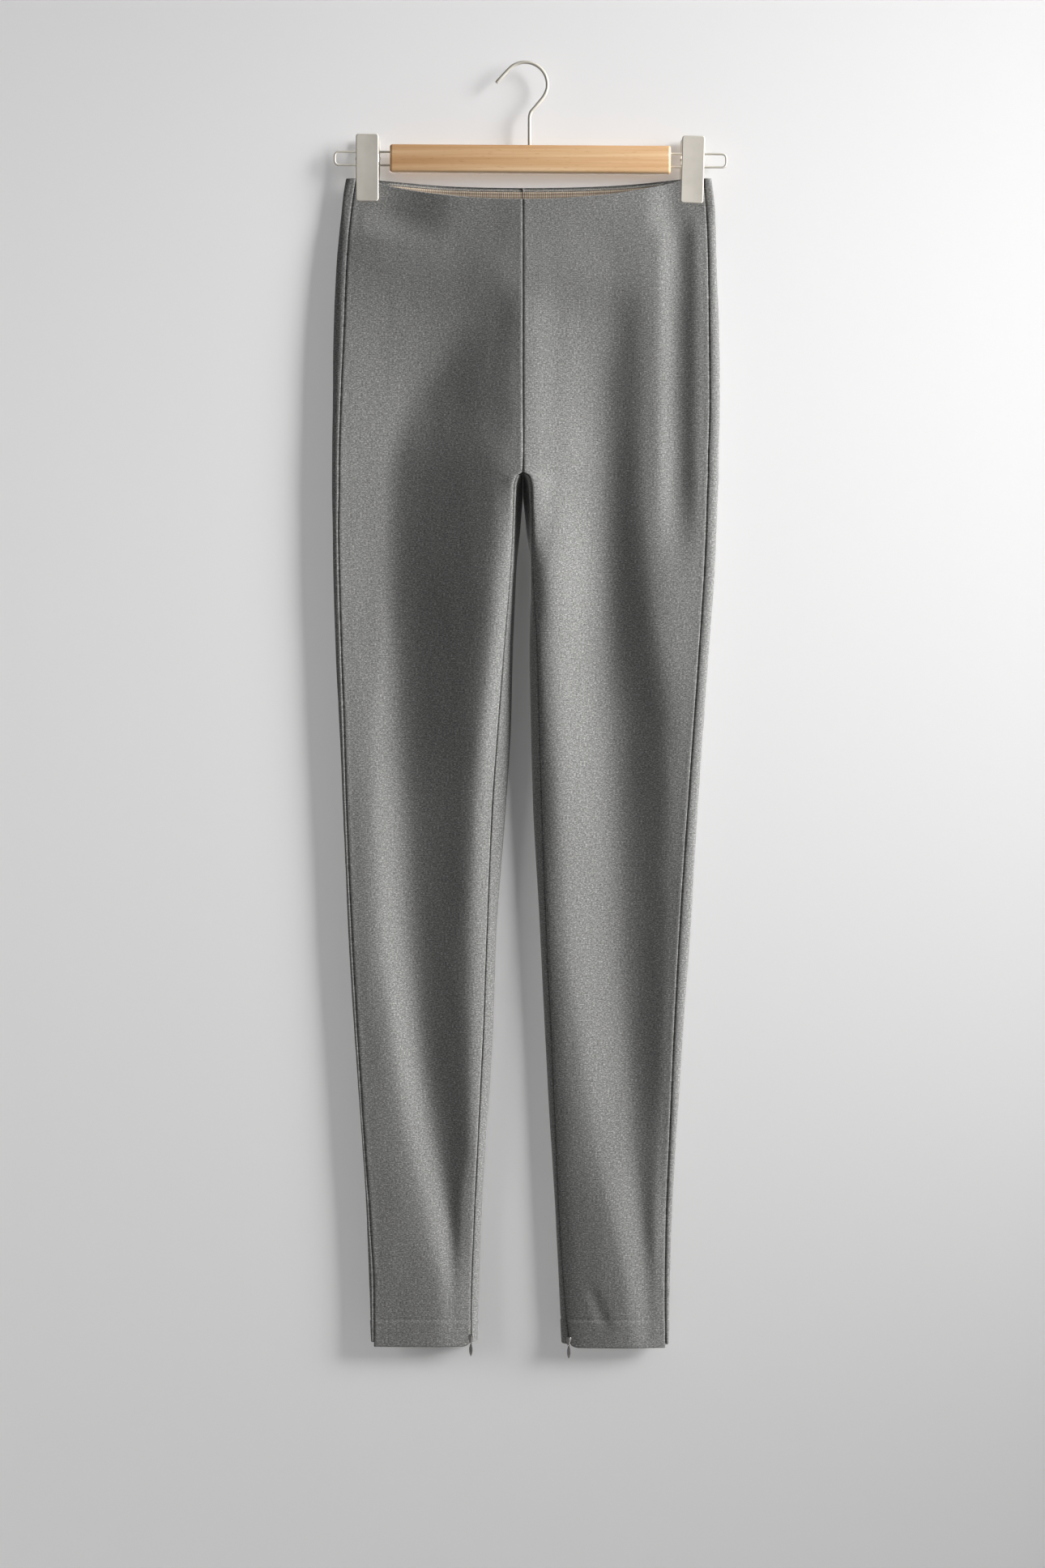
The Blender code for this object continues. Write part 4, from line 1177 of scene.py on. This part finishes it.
def pull_outline(steps=30):
    """The leaf's outline: a small round head that swells into a leaf, then a round foot."""
    right = []
    for i in range(steps + 1):
        t = i / steps
        down = PULL_TOP + t * (PULL_LONG - PULL_TOP)
        head = math.sqrt(max(0.0, HEAD_RADIUS**2 - (down - HEAD_DOWN) ** 2))
        s = (down - LEAF_TOP) / (PULL_LONG - LEAF_TOP)
        leaf = PULL_WIDE * math.sin(math.pi * max(0.0, s)) ** 0.62 if 0 < s < 1 else 0.0
        right.append((max(head, leaf), -down))
    return right


def leaf_mesh(name, hinge):
    """The pull: a thin bevelled leaf with a ring for its eye."""
    shape = bmesh.new()
    ring = [
        (EYE_RADIUS * math.cos(a), 0.0, EYE_Z + EYE_RADIUS * math.sin(a))
        for a in (2 * math.pi * k / 20 for k in range(21))
    ]
    add_tube(shape, ring, EYE_WIRE, closed_ends=False)
    half, rows = PULL_THICK / 2, []
    for wide, z in pull_outline(36):
        if z < LEAF_START:
            wide = max(wide, LEAF_NARROW)
            flat = wide - LEAF_EDGE
            row = [(-wide, 0), (-flat, -half), (0, -half - LEAF_SWELL), (flat, -half),
                   (wide, 0), (flat, half), (0, half + LEAF_SWELL), (-flat, half)]
            rows.append([shape.verts.new(Vector((x, y, z)) * MM) for x, y in row])
    loft(shape, rows)
    bmesh.ops.remove_doubles(shape, verts=shape.verts, dist=1e-6)
    bmesh.ops.recalc_face_normals(shape, faces=shape.faces)
    bmesh.ops.translate(shape, vec=hinge * MM, verts=shape.verts)
    return mesh_of(shape, name, SHARP)


def slider_mesh(name, hinge):
    """The slider: a waisted body with a raised crown, and the bridge that holds the pull."""
    shape = bmesh.new()
    face = 0.75
    rounded_box(shape, (4.2, 1.5, 4.6), (0, face + 0.75, 3.1), 0.7)
    rounded_box(shape, (3.1, 1.7, 6.6), (0, face + 0.85, 1.7), 0.7)
    rounded_box(shape, (1.7, 0.8, 4.4), (0, face - 0.1, 2.4), 0.35)
    bow = [
        (0, -BRIDGE_RADIUS * math.sin(a), BRIDGE_RADIUS * math.cos(a))
        for a in (math.pi * k / 12 for k in range(13))
    ]
    ends = [(0, face + 0.4, z) for z in (BRIDGE_RADIUS, -BRIDGE_RADIUS)]
    add_tube(shape, [ends[0], *bow, ends[1]], BRIDGE_WIRE)
    bmesh.ops.translate(shape, vec=hinge * MM, verts=shape.verts)
    return mesh_of(shape, name, 45)


zip_metal = []
for side, hinge in HINGES.items():
    for part, make, body in (("slider", slider_mesh, BODY), ("pull", leaf_mesh, PULLS[side])):
        name = f"{part}_{side}"
        piece = show(name, make(name, hinge), zinc, f"zip_{name}", body)
        zip_metal.append(piece)
    print("slider and pull", side, "at", [round(v, 1) for v in hinge])

# %% [markdown]
# ## The wooden bar
# A beech bar, planed to a plain rectangle with eased edges. A bevel with several segments
# gives the soft edge that catches the light.

# %% Wooden bar
BAR_CENTRE, BAR_TILT = Vector((5.3, 0.0, -82.6)), 0.35
BAR_SIZE, BAR_ROUND = (242.6, 11.0, 24.0), 2.4
HANGER_TURN = Matrix.Rotation(math.radians(BAR_TILT), 4, "Y")


def on_hanger(shape, name, turn=HANGER_TURN, centre=BAR_CENTRE):
    """Turns and places a mesh made round the bar's centre."""
    bmesh.ops.transform(shape, matrix=turn, verts=shape.verts)
    bmesh.ops.translate(shape, vec=centre * MM, verts=shape.verts)
    return mesh_of(shape, name, SHARP)


shape = bmesh.new()
rounded_box(shape, BAR_SIZE, (0, 0, 0), BAR_ROUND, 6)
show("beech_bar", on_hanger(shape, "beech_bar"), beech, "hanger_bar")
print("bar made,", BAR_SIZE, "mm")

# %% [markdown]
# ## Bent wire: hook and loops
# The hook and the two flat loops are steel wire bent on pegs, then enamelled. A path of
# points with a round tube on it is enough. The hook's end is rounded off so that it doesn't
# snag, and the loops run into drilled holes in the bar's ends.

# %% Hook and loops
HOOK_CENTRE, HOOK_RADIUS, HOOK_WIRE, HOOK_TIP = (0.9, -17.7), 19.2, 1.5, 16.2
HOOK_ARC = (-39.0, 137.0)
HOOK_STEM = [
    (4.6, -80.0), (4.6, -60.0), (4.6, -50.0), (4.62, -47.5), (4.75, -45.6), (5.1, -43.6),
    (5.75, -41.9), (6.5, -40.7), (7.3, -39.9),
]
LOOP_WIRE, LOOP_RISE, LOOP_CORNER, LOOP_DEEP = 0.95, 5.7, 3.6, 12.0
LOOP_REACH = {"left": -169.9, "right": 170.2}


def arc(centre, radius, start, end, steps):
    angles = [math.radians(start + (end - start) * i / steps) for i in range(steps + 1)]
    return [(centre[0] + radius * math.cos(a), centre[1] + radius * math.sin(a)) for a in angles]


bow = arc(HOOK_CENTRE, HOOK_RADIUS, *HOOK_ARC, 48)
way = math.radians(HOOK_ARC[1] + 90)
tip = [
    (bow[-1][0] + s * math.cos(way), bow[-1][1] + s * math.sin(way))
    for s in (HOOK_TIP * 0.5, HOOK_TIP - 1.4, HOOK_TIP - 0.7, HOOK_TIP - 0.25, HOOK_TIP)
]
hook_points = [(x, 0.0, z) for x, z in (*HOOK_STEM, *bow, *tip)]
rounding = [HOOK_WIRE * share for share in (0.9, 0.66, 0.25)]
hook_sizes = [HOOK_WIRE] * (len(hook_points) - len(rounding)) + rounding
hook_mesh = mesh_of(tube(hook_points, hook_sizes, 16), "wire_hook")
show("wire_hook", hook_mesh, wire_enamel, "hanger_hook")


def loop_points_of(side):
    out = OUT[side]
    end = LOOP_REACH[side] - out * LOOP_WIRE
    root = out * (BAR_SIZE[0] / 2 - LOOP_DEEP)
    bend = arc((0, LOOP_RISE - LOOP_CORNER), LOOP_CORNER, 90, 0, 8)
    upper = [(end - out * (LOOP_CORNER - a), b) for a, b in bend]
    points = [(root, 0, LOOP_RISE), (out * BAR_SIZE[0] / 2, 0, LOOP_RISE)]
    points += [(a, 0, b) for a, b in upper]
    return points + [(a, 0, -b) for a, _, b in reversed(points)]


for side in SIDES:
    name = f"wire_loop_{side}"
    mesh = on_hanger(tube(loop_points_of(side), LOOP_WIRE, 14), name)
    show(name, mesh, wire_enamel, f"hanger_loop_{side}")
print("hook and loops made")

# %% [markdown]
# ## Clips
# Each clip is two pressed plates with round corners, which turn on a pin. A wire spring
# round the pin closes their feet on the cloth. The plate is an outline drawn round its
# corners and given a rolled edge, so that light runs down its rim as on the real pressing.

# %% Clip plates
CLIP_WIDE, CLIP_TOP, CLIP_FOOT = 19.6, 20.0, -38.2
PLATE_THICK, PLATE_FACE, PLATE_CORNER, PLATE_ROLL = 1.5, 9.6, 2.4, 0.9
PIN_RADIUS, PIN_LONG = 1.2, 22.0
CHEEK_THICK, CHEEK_TALL, CHEEK_PAST = 1.1, 7.2, 2.6
PAD_FACE, PAD_TALL, PAD_UP = 2.95, 8.6, 5.6
# for each clip: how far along the bar, its tilt in the plane of the wall and its twist about
# the upright axis, in degrees
CLIP_PLACES = {"left": (-140.2, -0.35, -2.2), "right": (140.0, 1.25, 1.6)}


def corner_outline(half_wide, low, high, radius, steps=7):
    """A rectangle with round corners, as points (x, z)."""
    turns = (0, 90, 180, 270)
    corners = zip((half_wide, -half_wide, -half_wide, half_wide), (high, high, low, low), turns)
    points = []
    for x, z, start in corners:
        cx = x - math.copysign(radius, x)
        cz = z - radius if start < 180 else z + radius
        points += arc((cx, cz), radius, start, start + 90, steps)
    return points


def plate(shape, out):
    """Adds a plate whose rim rolls from its face to its back."""
    rings = []
    inner = PLATE_FACE - PLATE_THICK
    profile = [(PLATE_ROLL + 0.25, PLATE_FACE - 0.02), (PLATE_ROLL, PLATE_FACE)]
    profile += [
        (PLATE_ROLL * (1 - math.sin(a)), PLATE_FACE - PLATE_ROLL * (1 - math.cos(a)))
        for a in (math.radians(15 * k) for k in range(1, 7))
    ]
    profile += [(0.0, inner + 0.2), (0.2, inner), (1.2, inner)]
    for inset, depth in profile:
        round_by = max(0.4, PLATE_CORNER - inset)
        low, high = CLIP_FOOT + inset, CLIP_TOP - inset
        outline = corner_outline(CLIP_WIDE / 2 - inset, low, high, round_by)
        rings.append([shape.verts.new(Vector((x, out * depth, z)) * MM) for x, z in outline])
    loft(shape, rings)


def jaw_mesh(face):
    """A jaw: its plate, the pad at its foot and the two cheeks round the pin."""
    shape = bmesh.new()
    out = -1 if face == "front" else 1
    plate(shape, out)
    deep = PLATE_FACE - PLATE_THICK - PAD_FACE
    centre = (0, out * (PAD_FACE + deep / 2), CLIP_FOOT + PAD_UP)
    rounded_box(shape, (CLIP_WIDE - 3, deep, PAD_TALL), centre, 0.6)
    inset = 0.0 if face == "front" else CHEEK_THICK + 0.3
    deep = PLATE_FACE - PLATE_THICK / 2 + CHEEK_PAST
    for place in (-1, 1):
        x = place * (CLIP_WIDE / 2 - CHEEK_THICK / 2 - 0.2 - inset)
        centre = (x, out * (deep / 2 - CHEEK_PAST), 0)
        rounded_box(shape, (CHEEK_THICK, deep, CHEEK_TALL), centre, 0.3, 2)
    bmesh.ops.recalc_face_normals(shape, faces=shape.faces)
    return shape


def clip_place(side):
    """The turn and the centre of a clip's pin."""
    along, tilt, twist = CLIP_PLACES[side]
    turn = HANGER_TURN @ Matrix.Rotation(math.radians(tilt), 4, "Y")
    turn = turn @ Matrix.Rotation(math.radians(twist), 4, "Z")
    return turn, BAR_CENTRE + HANGER_TURN @ Vector((along, 0, 0))


jaws = []
for side in SIDES:
    turn, centre = clip_place(side)
    for face in ("front", "back"):
        name = f"{side}_{face}"
        mesh = on_hanger(jaw_mesh(face), f"jaw_{name}", turn, centre)
        jaws.append(show(f"jaw_{name}", mesh, enamel, f"clip_{name}"))
print("clip plates made")

# %% [markdown]
# ## Pins and springs
# The pin is a short rod with domed heads, like a rivet. The spring is a real coil here: a
# Geometry Nodes spiral with a round profile swept along it, with two legs that press on the
# plates.

# %% Pins and springs


def spring_tree():
    """A tree with named sizes that makes a coil of wire."""
    tree, given = new_tree("coil_spring", dict.fromkeys(("Radius", "Wire", "Length"), "Float"))
    spiral = add_node(tree, "GeometryNodeCurveSpiral", {
        "Resolution": 18, "Rotations": 11.0, "Start Radius": given["Radius"],
        "End Radius": given["Radius"], "Height": given["Length"],
    })
    wire = {"Resolution": 8, "Radius": given["Wire"]}
    ring = add_node(tree, "GeometryNodeCurvePrimitiveCircle", wire)
    coil = add_node(tree, "GeometryNodeCurveToMesh", {
        "Curve": spiral.outputs[0], "Profile Curve": ring.outputs["Curve"], "Fill Caps": True,
    })
    smooth = add_node(tree, "GeometryNodeSetShadeSmooth", {"Geometry": coil.outputs[0]})
    return end_tree(tree, smooth.outputs[0], wire_enamel)


SPRING = {"Radius": 2.5, "Wire": 0.46, "Length": 11.4}
SPRING_END = SPRING["Length"] / 2
holder = put(bpy.data.objects.new("spring", bpy.data.meshes.new("spring")))
coil_sizes = {label: value * MM for label, value in SPRING.items()}
coil_mesh = run_tree(holder, spring_tree(), "coil", coil_sizes)
for side in SIDES:
    turn, centre = clip_place(side)
    shape = bmesh.new()
    shape.from_mesh(coil_mesh)
    bmesh.ops.translate(shape, vec=(0, 0, -SPRING_END * MM), verts=shape.verts)
    along = Matrix.Rotation(math.pi / 2, 3, "Y")
    bmesh.ops.rotate(shape, cent=(0, 0, 0), matrix=along, verts=shape.verts)
    for way in (-1, 1):
        leg = [(way * SPRING_END, way * y, z) for y, z in ((2.4, 0), (4.5, -4.0), (7.4, -9.0))]
        add_tube(shape, leg, SPRING["Wire"])
    half = PIN_LONG / 2
    places = [-half, -half + 0.15, -half + 0.5, half - 0.5, half - 0.15, half]
    sizes = [0.5, 0.95, PIN_RADIUS, PIN_RADIUS, 0.95, 0.5]
    rod = tube([(x, 0, 0) for x in places], sizes, 16)
    for made, kind, node in ((shape, "spring", "spring"), (rod, "rivet", "pin")):
        name = f"{kind}_{side}"
        mesh = on_hanger(made, name, turn, centre)
        show(name, mesh, wire_enamel, f"clip_{side}_{node}")
print("spring faces:", len(coil_mesh.polygons))

# %% [markdown]
# ## Wall, floor and light
# The garment hangs close to a pale wall. Soft light comes from the right, low across the
# cloth, which models every fold: slopes that turn to the right shine and slopes that turn
# left fall dark. The wall and floor have lights of their own: one from the right that throws
# the long soft shadow, and a wide one from the left. A fourth lights the back. The wall shows
# from the front only, so that the back can be looked at too, and a pale floor lies below.

# %% Stage
WALL_Y, FLOOR_Z = 0.0162, -1.42


def stage_plane(name, points, finish):
    mesh = bpy.data.meshes.new(name)
    mesh.from_pydata(points, [], [(0, 1, 2, 3)])
    mesh.materials.append(finish)
    made = put(bpy.data.objects.new(name, mesh))
    made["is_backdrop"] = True
    return made


def make_plaster(name, colour, one_sided):
    """Matt painted plaster; one-sided, it is clear from behind."""
    made, tree, shader = new_material(name)
    paint = linear(colour)
    feed(tree, shader, {"Base Color": paint, "Roughness": 0.95, "Specular IOR Level": 0.1})
    if one_sided:
        clear = add_node(tree, "ShaderNodeBsdfTransparent").outputs[0]
        behind = add_node(tree, "ShaderNodeNewGeometry").outputs["Backfacing"]
        inputs = {0: behind, 1: shader.outputs[0], 2: clear}
        mixed = add_node(tree, "ShaderNodeMixShader", inputs).outputs[0]
        feed(tree, tree.nodes["Material Output"], {"Surface": mixed})
    return made


WALL_TOP, WALL_HALF, FLOOR_HALF = 1.6, 2.5, 4.0
CORNERS = [(-1, 0), (1, 0), (1, 1), (-1, 1)]
wall_points = [(x * WALL_HALF, WALL_Y, WALL_TOP if up else FLOOR_Z) for x, up in CORNERS]
wall = stage_plane("wall", wall_points, make_plaster("pale_plaster", "#E9E8E8", True))
wall.visible_diffuse = wall.visible_glossy = False
wall.visible_transmission = wall.visible_shadow = False
floor_points = [(x * FLOOR_HALF, (2 * up - 1) * FLOOR_HALF, FLOOR_Z) for x, up in CORNERS]
floor = stage_plane("floor", floor_points, make_plaster("pale_floor", "#E2E1E0", False))
print("wall at", WALL_Y, "floor at", FLOOR_Z)

# %% Lights
# a place, an aim, a size, a beam spread in degrees and a power
Lamp = namedtuple("Lamp", "place aim size spread power")
LAMPS = {
    "key": Lamp((2.95, -0.66, 0.31), (0.61, 0.0, -0.31), (1.5, 1.8), 43.6, 33.0),
    "wall_key": Lamp((2.11, -0.94, 0.30), (1.02, 0.0, -0.10), (1.8, 1.5), 50.0, 12.8),
    "wall_fill": Lamp((-3.0, -1.5, 0.0), (0.0, 0.0, -0.55), (2.0, 2.0), 157.0, 36.0),
    "back": Lamp((-0.6, 3.6, 0.4), (0.0, 0.0, -0.6), (2.5, 2.5), 180.0, 110.0),
}
AMBIENT, AMBIENT_BEHIND, BACKDROP = 0.205, 0.08, 0.78


def area_light(name, lamp):
    """A rectangular light at a place, turned to its aim; the spread narrows its beam."""
    data = bpy.data.lights.new(name, "AREA")
    data.shape = "RECTANGLE"
    data.size, data.size_y = lamp.size
    data.spread = math.radians(lamp.spread)
    data.energy = lamp.power
    made = put(bpy.data.objects.new(name, data))
    made.location = lamp.place
    away = Vector(lamp.place) - Vector(lamp.aim)
    made.rotation_euler = away.to_track_quat("Z", "Y").to_euler()
    return made


def light_group(light, use, things, state):
    """Limits a light's receivers or blockers to some things, or keeps it off them."""
    group = bpy.data.collections.new(f"{light.name}_{use}")
    for thing in things:
        group.objects.link(thing)
    for entry in group.collection_objects:
        entry.light_linking.link_state = state
    setattr(light.light_linking, f"{use}_collection", group)


def make_world():
    """Even light from all round, weaker from behind the wall, and a pale backdrop."""
    made = bpy.data.worlds.new("studio")
    made.use_nodes = True
    tree = made.node_tree
    soft = tree.nodes["Background"]
    way = add_node(tree, "ShaderNodeTexCoord").outputs["Generated"]
    behind = add_node(tree, "ShaderNodeSeparateXYZ", {"Vector": way}).outputs["Y"]
    strength = number_ramp(tree, behind, -0.05, 0.25, AMBIENT, AMBIENT_BEHIND)
    feed(tree, soft, {"Color": (0.96, 0.98, 1.0, 1.0), "Strength": strength})
    inputs = {"Color": (0.97, 0.98, 1.0, 1.0), "Strength": BACKDROP}
    plain = add_node(tree, "ShaderNodeBackground", inputs).outputs[0]
    seen = add_node(tree, "ShaderNodeLightPath").outputs["Is Camera Ray"]
    mixed = add_node(tree, "ShaderNodeMixShader", {0: seen, 1: soft.outputs[0], 2: plain})
    feed(tree, tree.nodes["World Output"], {"Surface": mixed.outputs[0]})
    return made


lights = {name: area_light(name, lamp) for name, lamp in LAMPS.items()}
light_group(lights["key"], "receiver", [wall, floor], "EXCLUDE")
light_group(lights["key"], "blocker", jaws + zip_metal, "EXCLUDE")
light_group(lights["wall_key"], "receiver", [wall, floor], "INCLUDE")
light_group(lights["wall_fill"], "receiver", [wall, floor], "INCLUDE")
light_group(lights["wall_fill"], "blocker", [panels["front_left"], panels["back_left"]], "INCLUDE")
bpy.context.scene.world = make_world()
bpy.context.scene.view_settings.view_transform = "Standard"
print("lights set:", {name: light.data.energy for name, light in lights.items()})

# %% [markdown]
# ## Sizes of the look and the CAD
# The finished look stays inside the CAD solids' box, apart from about 2 mm behind. The
# sizes of both boxes are printed.

# %% Sizes and finish
look_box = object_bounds()
boxes = {"cad": cad_box, "look": look_box}
sizes = {name: [list(map(float, corner)) for corner in box] for name, box in boxes.items()}
for name, (low, high) in sizes.items():
    print(name, [round((b - a) / MM, 1) for a, b in zip(low, high)], "mm")
